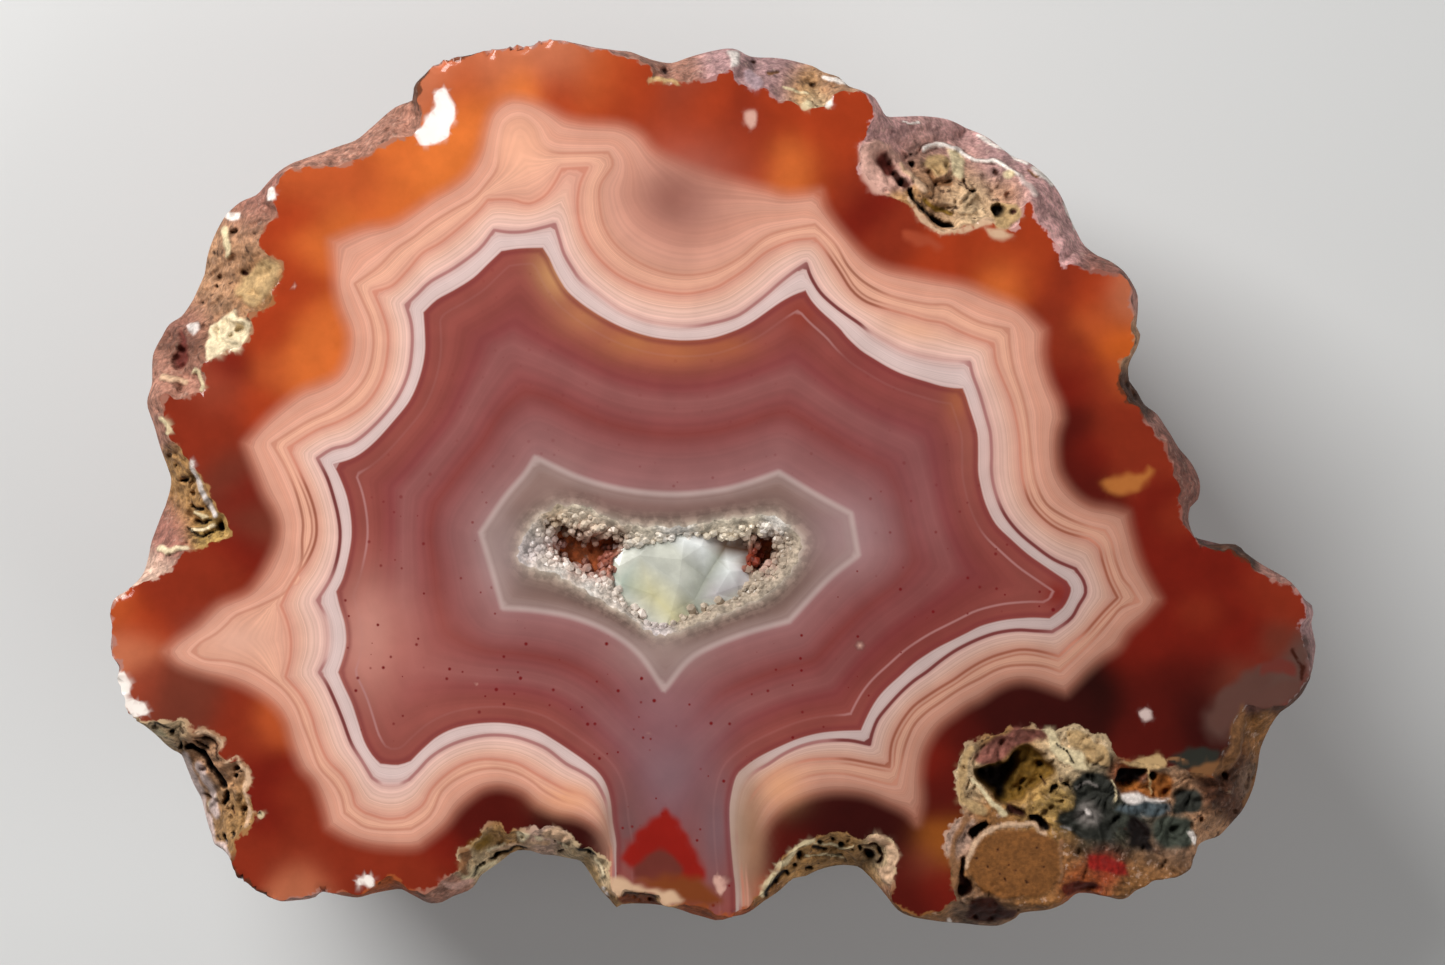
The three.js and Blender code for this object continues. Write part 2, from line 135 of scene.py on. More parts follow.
# The camera, straight above the stone.
LENS_MM = 100.0
SENSOR_MM = 36.0
CAMERA_PLACE = (0.675, 0.1875, 331.0)

# The studio: place, size and watts of each light, the light all round, and the floor's reach and colour.
KEY_LIGHT = ((-190, 200, 240), 200, 1.75)
FILL_LIGHT = ((380, -200, 300), 400, 1.2)
WORLD_LIGHT = 0.1
FLOOR_REACH = 900
FLOOR_COLOUR = (0.62, 0.62, 0.61, 1)

# Outlines, clockwise from the left end, read off the stone's face. The banded ones are lists of smooth runs
# that meet in sharp corners.
SILHOUETTE = [
    (-39.7, 15), (-39.2, 16.2), (-38.9, 17.5), (-38.5, 18.6), (-37.9, 19.8), (-37.2, 20.8), (-36.1, 21.6),
    (-34.8, 22), (-34.2, 22.5), (-33.2, 23.5), (-32, 24.3), (-30, 25.1), (-28.6, 25.7), (-27.2, 26.2),
    (-26, 27.2), (-24.6, 28.5), (-23.6, 28.9), (-22.8, 29.1), (-22.7, 29.7), (-22.5, 30.4), (-21.1, 31.6),
    (-19.5, 32.2), (-18, 32.6), (-16, 32.95), (-14, 33.1), (-13, 33.5), (-12, 33.6), (-10.5, 33.4),
    (-8.5, 33), (-7, 32.85), (-6.3, 32.8), (-5.3, 32.4), (-4.3, 32.1), (-3.2, 32.05), (-2, 32.5),
    (-0.5, 32.95), (1, 33.2), (1.8, 33.1), (2.8, 32.6), (4.5, 32.6), (6.2, 32.4), (7.5, 32), (8.4, 31.4),
    (9.5, 30.95), (10.2, 30.2), (11, 29.9), (11.5, 29.7), (12.2, 29.3), (12.7, 28.5), (13.1, 27.95),
    (14, 28), (16, 28.25), (18, 28.2), (19.5, 27.7), (21, 26.9), (22.2, 25.8), (23, 25.1), (24, 24.7),
    (25, 23.9), (25.9, 22.9), (26.7, 21.6), (27.2, 20.2), (27.7, 19.1), (28.2, 18.2), (29.1, 17.4),
    (30, 17), (31, 16.2), (31.7, 15.2), (32.1, 14.3), (32.1, 13.2), (32, 12), (32.3, 11.4), (32, 10.3),
    (31.6, 9.6), (31.4, 8.9), (31.5, 7.9), (32.1, 7.1), (32.6, 6.1), (33.6, 5.4), (34.4, 4.2), (35.2, 2.9),
    (36.2, 1.8), (36.8, 0.8), (37, -0.1), (36.8, -1.1), (36.1, -1.7), (35.95, -2.6), (36.1, -3.4),
    (36.5, -4.2), (37.2, -4.5), (39.5, -4.5), (40.2, -5.1), (41.5, -6), (43.2, -7), (44.1, -7.9),
    (44.75, -8.7), (45.3, -9.1), (45.45, -9.7), (45.3, -10.4), (45.5, -11.3), (45.65, -12.2),
    (45.4, -13.4), (45.05, -14.7), (44.6, -15.7), (43.85, -16.5), (42.9, -17.2), (42.45, -18),
    (42.05, -19.1), (41.7, -20.5), (41.6, -21.7), (41.35, -22.9), (40.8, -24.2), (40.3, -25),
    (39.4, -25.9), (38.5, -26.7), (37.25, -26.95), (36.6, -27.3), (36.35, -28), (36, -29), (35.4, -29.5),
    (34.85, -29.7), (33.5, -29.8), (32.75, -30.2), (31.9, -30.7), (31.3, -31.2), (30.65, -31.35),
    (29.9, -31.15), (28.55, -30.9), (27.4, -31), (26.8, -31.5), (25.95, -31.95), (25, -32.2),
    (23.2, -32.45), (22.9, -32.85), (22.2, -33.3), (21.55, -33.55), (20.3, -33.5), (19, -33.35),
    (17.8, -33.2), (16.4, -32.95), (14.85, -32.6), (14.2, -32.3), (13.7, -31.9), (13.05, -31.05),
    (12.4, -30.3), (11.6, -29.5), (10.95, -29.05), (9.9, -28.95), (8.95, -29.1), (7.95, -29.35),
    (7, -29.75), (6.05, -29.85), (5.4, -30.4), (4.7, -30.95), (3.75, -31.55), (3, -32.1), (2.25, -32.5),
    (1.5, -32.6), (0.7, -32.9), (0.15, -32.95), (-0.65, -32.75), (-1.6, -32.5), (-2.35, -32.2),
    (-3.2, -31.9), (-4.1, -31.75), (-6.95, -31.75), (-7.35, -32), (-7.8, -31.45), (-8.4, -30.85),
    (-9.05, -30), (-9.6, -29.15), (-10.1, -28.5), (-10.75, -28.35), (-11.8, -28.2), (-13, -28.1),
    (-13.9, -27.75), (-14.9, -27.75), (-15.45, -28), (-16.2, -28.65), (-17.2, -29.3), (-17.75, -29.7),
    (-18.1, -30.35), (-18.7, -30.85), (-19.85, -31.25), (-20.6, -31.65), (-21.4, -31.7), (-22.05, -31.45),
    (-22.9, -30.95), (-23.6, -30.6), (-24.45, -30.7), (-25.8, -30.9), (-26.95, -31.2), (-28.1, -31.05),
    (-29.4, -30.65), (-30.1, -31.15), (-30.6, -31.3), (-32.65, -31.45), (-33.5, -31), (-34.7, -30.35),
    (-35.55, -29.75), (-36.1, -29.5), (-36.2, -28.8), (-36.6, -28.1), (-37.2, -27.6), (-37.9, -27.3),
    (-38.2, -26.65), (-38.65, -25.6), (-39.15, -24.25), (-39.8, -22.85), (-40.2, -21.65), (-40.5, -20.55),
    (-41.1, -20.2), (-41.75, -19.6), (-42.3, -18.9), (-43, -18.2), (-43.5, -17.7), (-43.9, -17.1),
    (-44.35, -16.65), (-44.4, -15.9), (-44.7, -15.1), (-44.9, -14.5), (-44.95, -13.7), (-45.3, -12.8),
    (-45.6, -12.25), (-45.55, -11.65), (-45.35, -10.95), (-45.4, -10), (-45.5, -9.25), (-45.3, -8.7),
    (-44.9, -8.3), (-44.1, -7.85), (-43.5, -7.2), (-43.1, -6.5), (-42.95, -5.5), (-42.85, -4.3),
    (-42.45, -2.95), (-42, -1.6), (-41.5, -0.45), (-41.3, 0.5), (-41.6, 1.6), (-42, 2.95), (-42.45, 4.5),
    (-42.95, 5.85), (-42.95, 6.6), (-42.65, 7.55), (-42.7, 8.3), (-42.85, 9.5), (-42.8, 10.25),
    (-42.35, 11.4), (-41.8, 12.35), (-40.85, 12.95), (-40.25, 13.9),
]
FACE_EDGE = [
    (-32.8, 15), (-32.6, 16.3), (-33.3, 17.3), (-34.1, 18.2), (-33.7, 19.1), (-32.9, 20.2), (-33, 21.4),
    (-32.8, 22.6), (-32.2, 23.5), (-30.8, 23.9), (-29, 23.9), (-27.5, 24.2), (-26, 24.7), (-25.2, 25.4),
    (-24, 26), (-22.9, 26.2), (-22, 27.3), (-22.1, 28.6), (-22.3, 29.9), (-21.2, 31.2), (-19.6, 32),
    (-18, 32.4), (-16, 32.8), (-14, 33), (-12, 33.3), (-10.5, 33.1), (-9, 32.7), (-8, 32.4), (-7, 32.1),
    (-6.2, 31.9), (-5.4, 31.8), (-4.8, 31.2), (-4.6, 30.5), (-3.9, 30.4), (-3.2, 30.1), (-2.5, 30.3),
    (-1.5, 30.3), (-0.5, 30.5), (0.8, 30.9), (1.4, 31), (1.8, 30.4), (2.4, 29.9), (3.2, 29.7), (4, 29.8),
    (4.6, 29.2), (5.2, 28.8), (6.3, 28.6), (7.3, 28.4), (8.4, 28.5), (8.9, 28.6), (9, 29.2), (9.6, 29.5),
    (10.5, 29.5), (11.3, 29.2), (11.7, 28.3), (11.9, 27.2), (11.5, 26.2), (11.1, 25.8), (11, 24.8),
    (11.1, 23.8), (11.6, 22.9), (12.2, 22.2), (12.9, 21.8), (14.2, 21.3), (15.1, 20.9), (15.5, 20.3),
    (16.5, 19.5), (17.3, 19.1), (18.3, 19.2), (19.4, 19.6), (20.6, 19.8), (21.2, 19.4), (22, 19.1),
    (22.8, 19.5), (23.1, 20.1), (23.3, 21), (23.9, 21.2), (24.3, 20.3), (24.6, 19.3), (25.2, 18.8),
    (25.7, 18), (26, 17.2), (26.4, 16.4), (27.5, 16.3), (28.8, 16.3), (29.6, 16.1), (30.4, 15.8),
    (31, 15.3), (31.4, 14), (31.4, 12.5), (31.6, 11.5), (31.5, 10.5), (31.2, 9.6), (30.6, 8.9), (30.5, 8),
    (30.8, 6.9), (31.2, 6.2), (32, 5.9), (32.4, 5.1), (33, 4.1), (33.8, 3), (34.2, 2), (34.7, 0.8),
    (34.8, -0.5), (35, -1.6), (35.3, -2.6), (35.8, -3.4), (36.2, -4.2), (36.9, -4.7), (38.3, -5),
    (39.3, -4.9), (39.9, -5.6), (40.5, -6.3), (41.6, -6.9), (42.7, -7.3), (43.5, -7.7), (44.2, -8.4),
    (44.5, -9.2), (44.3, -10.2), (44, -11.2), (44.6, -12.5), (44.7, -14), (44, -15.5), (43, -16.5),
    (40.5, -16.6), (39.9, -16.8), (39.3, -17.5), (38.9, -18.7), (38.2, -20.2), (37.9, -21.2),
    (37.5, -22.5), (37.2, -23.7), (36.6, -24.6), (36.1, -25.6), (35.8, -26.5), (36, -27.3), (35.8, -28.5),
    (34.8, -29.4), (33, -29.6), (31.8, -30.3), (30.5, -30.9), (29.3, -30.6), (28.8, -30), (26.8, -29.8),
    (26, -31.2), (23, -31.4), (20, -31.3), (18.3, -31.3), (16, -32.2), (14.6, -32.2), (13.9, -31.7),
    (13.4, -30.8), (13.5, -30), (13.6, -28.8), (13.9, -27.7), (13.6, -27), (12.8, -26.3), (11.8, -26.2),
    (11, -26.7), (10.3, -26.2), (9, -26.1), (8, -26.4), (7, -26.9), (6, -27.5), (5.1, -28.4), (4.4, -29.4),
    (3.9, -30.2), (3, -31.3), (2, -31.9), (0.8, -32.3), (-1, -31.6), (-2.4, -31.5), (-3.8, -31.4),
    (-4.1, -30.8), (-5.5, -30.5), (-6.8, -30.5), (-7.1, -31), (-7.6, -30.2), (-7.9, -28.9), (-8.4, -28),
    (-9.2, -27.4), (-9.8, -27.3), (-10.6, -26.8), (-11, -25.9), (-12, -25.6), (-12.9, -25.8),
    (-13.8, -26.1), (-14.9, -26), (-15.5, -26.2), (-16, -25.6), (-17, -25.4), (-17.3, -26.4), (-18.1, -27),
    (-18.9, -27.9), (-19, -28.8), (-20, -29.5), (-21, -30.4), (-22.5, -30.5), (-24.5, -29.3),
    (-25.4, -30.2), (-27, -30.7), (-29.5, -30.4), (-31, -31), (-32.7, -31.2), (-34.5, -30.2),
    (-35.8, -29.2), (-36.3, -27.8), (-35.9, -27.4), (-36, -26.7), (-35.5, -26.1), (-34.8, -25.5),
    (-34.6, -24.3), (-34.9, -23.5), (-34.9, -21.5), (-35.4, -20.8), (-36.4, -20.6), (-37, -20.3),
    (-36.9, -19.3), (-37.4, -18.7), (-38.3, -18.4), (-39.3, -18.5), (-39.5, -17.8), (-40.5, -17.8),
    (-41.5, -17.7), (-42.5, -17.9), (-43.4, -17.5), (-44.1, -16.6), (-44.2, -15.8), (-44.6, -14.6),
    (-44.7, -13.5), (-45, -12.5), (-45.2, -11), (-45.2, -9.3), (-44.9, -8.6), (-43.9, -7.8), (-43, -7.3),
    (-42, -7), (-40.9, -6.2), (-40.3, -5.5), (-39.4, -5), (-38.6, -4.7), (-37.6, -4.3), (-36.9, -4),
    (-36.3, -3.5), (-36.4, -2.8), (-36.9, -2.1), (-37.6, -1.2), (-38, -0.2), (-38.6, 0.8), (-39.3, 1.6),
    (-39.8, 2.4), (-40.3, 3), (-40.9, 3.6), (-41, 4.6), (-41.4, 5.4), (-41.5, 6.2), (-41.3, 6.8),
    (-40.2, 6.6), (-39.3, 6.7), (-38.3, 7), (-38.1, 7.8), (-38.5, 8.5), (-38.2, 9.1), (-37.4, 9.3),
    (-36.9, 9.9), (-36, 10.1), (-35.3, 10.4), (-34.9, 11.2), (-34.7, 12.2), (-34.9, 12.8), (-34, 13),
    (-33.3, 13.7), (-33, 14.6),
]
WHITE_INNER = [
    [(-15.9, 17.55), (-14.5, 17.75)],
    [
        (-12.8, 17.8), (-12.3, 17), (-11.95, 16.2), (-11.4, 15.2), (-10.9, 14.5), (-10, 13.7), (-9, 13),
        (-8, 12.4), (-7, 11.9), (-6, 11.5), (-5, 11.2), (-4, 11), (-2.5, 10.85), (-1, 10.9), (0, 11.05),
        (1, 11.35), (2, 11.75), (3, 12.3), (4, 13), (5, 13.7), (6, 14.25),
    ],
    [
        (6.9, 14.6), (7.3, 13.9), (8, 13.1), (9, 12.2), (9.6, 11.6), (10, 11.1), (11, 10.15), (12, 9.5),
        (13, 8.9), (14, 8.4), (15, 8.05), (16, 7.75), (17, 7.45), (18, 7.28),
    ],
    [
        (18.7, 7.25), (18.95, 6.6), (19.2, 5.8), (19.5, 4.9), (19.8, 3.8), (19.85, 2.4), (19.85, 1.1),
        (20, 0.1), (20.4, -1.4), (21.15, -2.9), (22.3, -4.05), (23.6, -5.2), (24.95, -6.15),
    ],
    [(26.5, -7.2), (26.8, -7.7), (26.7, -8.3), (26.2, -9.2)],
    [
        (25.2, -10), (24, -9.95), (23, -10), (22, -10.1), (21, -10.3), (20, -10.6), (19, -11.1),
        (18, -11.6), (17, -12.1), (16, -12.7), (15, -13.4), (14, -14.3), (13, -15.2), (12.3, -16),
        (11.8, -16.8), (11.4, -17.6),
    ],
    [
        (11.05, -18.4), (9.5, -18.45), (8, -18.6), (6.45, -19), (4.9, -19.65), (3.4, -20.4), (2.4, -21.1),
        (1.7, -21.85), (1.3, -23.4), (1.2, -24.7), (1.3, -26.8), (1.5, -29), (1.65, -30.65),
    ],
    [(1.7, -35.5)],
    [
        (-7.2, -35.5), (-7.3, -28.4), (-7.3, -26.8), (-7.55, -25.3), (-7.7, -23.8), (-8, -22.6),
        (-8.55, -21.65), (-9.5, -20.8), (-10.85, -19.85), (-12, -19.1), (-13.35, -18.35), (-15.3, -17.9),
        (-17.2, -17.85), (-19.1, -18.15), (-20.6, -18.8), (-21.75, -19.75),
    ],
    [(-22.7, -20.7), (-23.65, -21)],
    [(-25, -20.9), (-25.6, -20.25), (-26.2, -19.2), (-26.7, -17.65), (-27.15, -16.3), (-27.8, -14.9)],
    [(-28.15, -14.05), (-27.8, -13), (-27.55, -11.8), (-27.65, -10.45), (-28.05, -9.05)],
    [(-28.3, -8), (-27.8, -7), (-27.4, -5.45), (-27.15, -3.9), (-27.2, -2.4), (-27.5, -0.85), (-28, 0.5)],
    [
        (-28.5, 1.55), (-26.9, 2.1), (-25.5, 3.15), (-23.95, 4.85), (-22.75, 6.4), (-22, 8.2),
        (-21.65, 9.9), (-21.65, 11.4),
    ],
    [(-21.75, 12.95), (-20.75, 13.9), (-19.4, 14.65), (-18, 15.55), (-16.9, 16.6)],
]
WHITE_OUTER = [
    [(-16.45, 19.1), (-15.3, 18.95), (-14.15, 19), (-13, 19.25)],
    [
        (-11.9, 19.55), (-11.55, 18.4), (-11.2, 17.3), (-10.5, 16.1), (-10, 15.4), (-9, 14.5), (-8, 13.7),
        (-7, 13), (-6, 12.55), (-5, 12.2), (-4, 12), (-3, 11.87), (-2, 11.85), (-1, 11.95), (0, 12.15),
        (1, 12.4), (2, 12.8), (3, 13.5), (4, 14.3), (4.9, 15.1), (5.9, 15.9),
    ],
    [
        (6.95, 16.6), (7.3, 15.6), (8, 14.45), (9, 13.5), (10, 12.75), (11, 12.05), (12, 11.2), (13, 10.6),
        (14, 10.05), (15, 9.7), (16, 9.45), (17, 9.3), (18, 9.2),
    ],
    [
        (19.2, 9.2), (19.45, 8.2), (19.9, 7), (20.2, 6), (20.45, 5.1), (20.75, 3.95), (20.85, 2.45),
        (20.85, 0.9), (21.15, -0.6), (21.8, -2.15), (22.85, -3.5), (24.2, -4.65), (25.55, -5.6),
    ],
    [(27.15, -6.3), (27.75, -7.2), (27.9, -8.1), (27.4, -9), (26.9, -9.9), (26.2, -10.5)],
    [
        (25.4, -11), (24, -10.93), (23, -10.87), (22, -10.95), (21, -11.15), (20, -11.5), (19, -11.95),
        (18, -12.5), (17, -13.2), (16, -14), (15, -14.7), (14, -15.6), (13, -16.7), (12.3, -17.6),
        (11.9, -18.6),
    ],
    [
        (11.7, -19.45), (10.1, -19.15), (8.2, -19.2), (6.65, -19.55), (5.3, -20.15), (4.15, -20.9),
        (3, -21.6), (2.2, -22.6), (1.85, -24), (1.75, -26), (1.85, -28), (2, -30.65),
    ],
    [(2, -36)],
    [
        (-7.5, -36), (-7.5, -28), (-7.7, -26.5), (-7.9, -25), (-8.05, -23.9), (-8.4, -23), (-8.95, -22.15),
        (-9.9, -21.5), (-11.05, -20.9), (-12.4, -19.85), (-13.55, -19.3), (-15.05, -18.85),
        (-16.8, -18.75), (-18.3, -19), (-19.85, -19.55), (-21.2, -20.4), (-22.15, -21.4),
    ],
    [(-22.85, -22.1), (-23.6, -22.4), (-24.8, -22.4)],
    [(-25.6, -21.95), (-26.35, -20.7), (-27.15, -19.4), (-27.8, -17.65), (-28.35, -16.3), (-29, -14.9)],
    [(-29.55, -14.05), (-29, -12.9), (-28.8, -11.6), (-28.95, -10.2), (-29.4, -9.2)],
    [
        (-29.7, -8.65), (-28.7, -7), (-28.2, -5.45), (-28, -3.9), (-28.1, -2.6), (-28.4, -1.25),
        (-28.95, 0.5),
    ],
    [
        (-29.7, 2), (-28.6, 2.7), (-27.05, 3.15), (-25.35, 4.55), (-23.8, 6.4), (-22.9, 8.35),
        (-22.6, 10.35), (-22.65, 12.05),
    ],
    [(-23.05, 13.5), (-22.15, 14.35), (-21.2, 15.25), (-19.4, 16.3), (-17.55, 17.7)],
]
INNER_LINE = [
    [
        (-31.9, 2.8), (-29.8, 4.1), (-27.95, 4.85), (-26.1, 6.05), (-24.9, 7.9), (-24.45, 9.9),
        (-24.45, 11.6), (-24.9, 13.1),
    ],
    [(-25.5, 14.5), (-24.1, 14.95), (-22.9, 16.15), (-21.8, 17.4), (-20.3, 18.3), (-17.9, 20.3)],
    [(-16.9, 21.4), (-15.2, 21.4), (-13.85, 21.1), (-12.7, 21.65), (-11.95, 22.6)],
    [(-11.35, 23.7)],
    [
        (-9.45, 23.8), (-10, 22.6), (-10.2, 21.1), (-10, 19.55), (-9.45, 18.2), (-8.5, 16.9),
        (-7.15, 15.75), (-5.6, 15), (-4, 14.55), (-2, 14.35), (0, 14.75), (1.2, 15.4), (2.4, 16.2),
        (4, 17.5), (5.85, 18.3),
    ],
    [
        (7.6, 18.5), (8.35, 17.65), (9.4, 16.1), (10.3, 14.7), (11.2, 13.9), (12.2, 13.45), (13.7, 13),
        (15, 12.65), (16, 12.35), (17.2, 12.15), (18.3, 11.6), (19.5, 11.1),
    ],
    [
        (21, 10.6), (21.2, 9.2), (21.7, 7.9), (22.3, 6.45), (22.7, 4.95), (22.95, 3.4), (23.05, 1.7),
        (23.25, 0.15), (23.8, -1.4), (24.95, -2.7), (26.3, -3.5),
    ],
    [(28.2, -4.05), (28.9, -4.65), (29.15, -5.6), (29.65, -7.15)],
    [(30.3, -8.45), (29.35, -9.4), (28.6, -10.25), (27.85, -11.1), (26.9, -11.9)],
    [
        (25.9, -12.85), (25, -12.6), (24, -12.4), (23, -12.35), (22, -12.55), (21, -12.85), (20, -13.3),
        (19, -13.9), (18, -14.6), (17, -15.2), (16, -15.85), (15, -16.6), (14.2, -17.6), (13.6, -18.7),
        (13.3, -19.7),
    ],
    [
        (13.2, -21.15), (11.4, -20.8), (9.9, -20.55), (8.2, -20.55), (6.8, -20.7), (5.2, -21.3),
        (3.9, -22.2), (2.9, -23.4), (2.3, -25), (2.1, -27), (2.1, -29), (2.25, -31),
    ],
    [(2.3, -36.5)],
    [
        (-7.7, -36.5), (-7.6, -28.3), (-7.8, -26.8), (-8.1, -25.3), (-8.7, -24.2), (-9.6, -23.4),
        (-11, -22.9), (-12.2, -22.3), (-13.35, -21.65), (-14.7, -20.9), (-16.2, -20.6), (-17.55, -20.6),
        (-18.9, -21), (-20.2, -21.85), (-21.2, -22.9), (-21.8, -24),
    ],
    [(-23.1, -24.95), (-24.55, -25.05)],
    [
        (-26.1, -24.6), (-26.85, -24.05), (-27.15, -23), (-27.8, -21.8), (-28.95, -20.6), (-29.7, -18.9),
        (-30.15, -17.35), (-30.9, -15.8),
    ],
    [(-32.1, -14.4), (-31.75, -13), (-31.7, -11.5), (-32, -10.1)],
    [
        (-32.45, -9.05), (-31.6, -7.3), (-30.5, -5.75), (-29.85, -4.15), (-29.8, -2.6), (-30.2, -1),
        (-31, 0.9),
    ],
]
OUTER_LINE = [
    [
        (-33.1, 3.1), (-30.55, 4.7), (-28.7, 5.6), (-27.05, 6.85), (-25.95, 8.35), (-25.5, 10.35),
        (-25.65, 12.2), (-26.25, 13.7),
    ],
    [
        (-26.9, 15.1), (-25.2, 16.3), (-23.8, 17.7), (-22.45, 18.6), (-21.2, 19.6), (-19.5, 20.65),
        (-18, 21.5), (-17, 22.6), (-16.2, 23.8), (-16, 25.5), (-15.6, 27.1), (-14.4, 27.6), (-13.4, 26.8),
        (-13, 25.6), (-12, 24.95), (-9.85, 24.9),
    ],
    [
        (-7.9, 24.95), (-7.55, 24), (-8.5, 22.45), (-8.5, 20.7), (-8.1, 19.2), (-7.15, 17.85),
        (-5.6, 16.7), (-3.7, 15.95), (-1.8, 15.75), (0.15, 16.1), (2.05, 17.1), (3.6, 18.4), (4.9, 19),
    ],
    [
        (7.6, 19.55), (9.1, 18.1), (10.1, 16.4), (11.25, 15.25), (12.75, 14.4), (14.3, 13.9),
        (16.2, 13.55), (17.55, 13.5), (18.5, 12.95), (19.85, 12.25), (21.2, 11.9),
    ],
    [
        (22.15, 11.7), (22.2, 10.5), (22.5, 8.75), (23.05, 7.05), (23.45, 5.5), (23.7, 3.6), (23.9, 1.7),
        (24.2, 0.15), (24.95, -1.4), (26.3, -2.35), (27.85, -3),
    ],
    [(29.35, -3.4), (29.85, -4.25), (30.15, -5.6), (30.7, -7), (31.2, -7.6)],
    [(31.9, -8.75), (30.6, -9.2), (29.8, -10.1), (28.9, -11.15), (28, -12.1), (26.9, -13.15)],
    [
        (26, -14), (25, -13.65), (24, -13.5), (23, -13.5), (22, -13.6), (21, -13.95), (20, -14.5),
        (19, -15), (18, -15.6), (17, -16.3), (16, -17), (15.1, -17.9), (14.6, -18.9), (14.3, -19.8),
        (14, -21.2),
    ],
    [
        (13.7, -22.45), (13, -22.4), (11.2, -21.95), (9.7, -21.65), (8.2, -21.65), (6.8, -21.95),
        (5.3, -22.7), (4, -23.8), (3.2, -25.2), (2.6, -27), (2.35, -29), (2.5, -31),
    ],
    [(2.6, -37)],
    [
        (-7.9, -37), (-7.7, -28.35), (-7.85, -26.95), (-8.25, -25.7), (-9, -24.8), (-10, -24.1),
        (-11.3, -23.7), (-12.75, -22.9), (-13.55, -22.25), (-14.7, -21.6), (-16.2, -21.25),
        (-17.75, -21.4), (-19.3, -22.05), (-20.4, -23), (-21, -24.35), (-21.6, -25.1),
    ],
    [(-22.7, -25.8), (-24.55, -25.85), (-26.1, -25.65), (-26.95, -25.1)],
    [
        (-27.65, -24.6), (-27.9, -23.4), (-28.5, -22.35), (-29.55, -21.15), (-30.2, -19.4), (-30.75, -18),
        (-31.25, -16.65), (-32.1, -15.45), (-33.15, -14.6), (-34.7, -13.65), (-36.4, -13.2),
        (-38.15, -13.05),
    ],
    [
        (-39.1, -12.5), (-38.5, -11.85), (-37.3, -11.15), (-36.4, -10.35), (-35.75, -9.75), (-33.7, -8.9),
        (-31.95, -7.9), (-30.95, -6), (-30.85, -4.15), (-30.8, -2.6), (-31.3, -0.55), (-32.1, 1.35),
    ],
]
BANDS_END = [
    [
        (-35.1, 3.1), (-33.2, 5.2), (-31, 7), (-29.8, 7.45), (-28.25, 8.2), (-27.5, 9.6), (-27.35, 11.4),
        (-27.95, 13.1), (-28.3, 14.5), (-28.55, 16.9),
    ],
    [
        (-28.7, 18.3), (-26.4, 19.2), (-24.1, 19.6), (-22.4, 20.6), (-21, 21.6), (-19.6, 22.4),
        (-18.4, 23.4), (-17.5, 25), (-17.1, 26.5), (-16.7, 27.8), (-16, 28.6), (-15, 29), (-13.5, 28.7),
        (-12, 28), (-11, 27.5), (-9.5, 27.2), (-7, 27), (-5.5, 26.3), (-4.3, 25), (-1.8, 23.8), (0, 23.2),
        (2, 22.7), (4, 22.2), (5.5, 21.8),
    ],
    [
        (8, 22), (8.5, 20.5), (10, 18.5), (11.5, 17), (13, 16.2), (15, 15.8), (17, 15.4), (19, 15),
        (21, 14.2), (22.7, 13.5), (24, 12.4),
    ],
    [(24.8, 11.6), (24.7, 9.7), (25.15, 7.8), (25.9, 6.1)],
    [(26.1, 4.95), (25.75, 3.95), (25.65, 2.45), (25.9, 0.9), (26.9, -0.6), (28.2, -1.55), (29.95, -1.85)],
    [(31, -2.15), (31.3, -3.65), (31.85, -5.6), (32.6, -7.2)],
    [(33.4, -8.6), (32.1, -10.05), (31.05, -11), (30.3, -12.2), (29.05, -13), (28, -13.9), (27.1, -14.8)],
    [
        (26.4, -15.5), (25, -15), (24, -14.7), (23, -14.6), (22, -14.8), (21, -15.3), (20, -16),
        (19, -16.5), (18, -17.2), (16.8, -18.2), (15.8, -19.95), (15.5, -21.85), (15.6, -23.75),
    ],
    [
        (15.25, -25.3), (14.5, -24.5), (12.95, -23.75), (11.6, -23.2), (10.1, -22.95), (8.4, -23),
        (6.8, -23.4), (5.3, -24.15), (4.15, -25.3), (3.4, -26.45), (2.8, -28), (2.6, -29.9), (2.9, -31),
    ],
    [(3, -37.5)],
    [
        (-8.2, -37.5), (-7.8, -28.4), (-7.9, -27.05), (-8.4, -26.1), (-9.3, -25.3), (-10.5, -24.8),
        (-11.8, -24.55), (-13.15, -23.95), (-14.3, -23), (-15.8, -22.55), (-17.2, -22.7), (-18.3, -23.4),
        (-19.3, -24.35), (-20.2, -25.5), (-21.6, -26.65), (-22.5, -27.1), (-25.2, -27), (-27.3, -26.45),
    ],
    [
        (-28.85, -25.6), (-29.2, -24.2), (-29.9, -22.3), (-30.9, -21.15), (-31.6, -19.4), (-32.1, -17.65),
        (-33.15, -16.3), (-34.7, -15.3), (-36.4, -14.6), (-38.5, -14.05), (-40.2, -13.4),
    ],
    [
        (-41.1, -12.5), (-40.2, -11.65), (-38.6, -10.6), (-37.1, -9.05), (-34.7, -7.9), (-33, -5.1),
        (-32.55, -3.4), (-32.9, -1.95), (-33.65, -0.7), (-34.4, 1.2),
    ],
]
QUARTZ_LINE = [
    [(-13.35, 2.05), (-9.95, 0.5), (-6.45, -0.4), (-2.9, -0.7), (0.4, -0.4), (2.6, 0.15)],
    [(4.9, 0.95), (7.65, -0.7)],
    [(10.3, -2.15)],
    [(10.85, -5.25), (8.55, -7.1)],
    [(5.65, -10.2), (2.6, -11.05), (-0.25, -12.15), (-2, -13.25)],
    [(-3.7, -15.35), (-5.55, -12.7), (-7.75, -11.05), (-10.4, -9.95), (-13.25, -9.4)],
    [(-15.8, -9.2), (-16.65, -6.2)],
    [(-17.45, -3.6), (-15.65, -0.95), (-14.15, 0.8)],
]
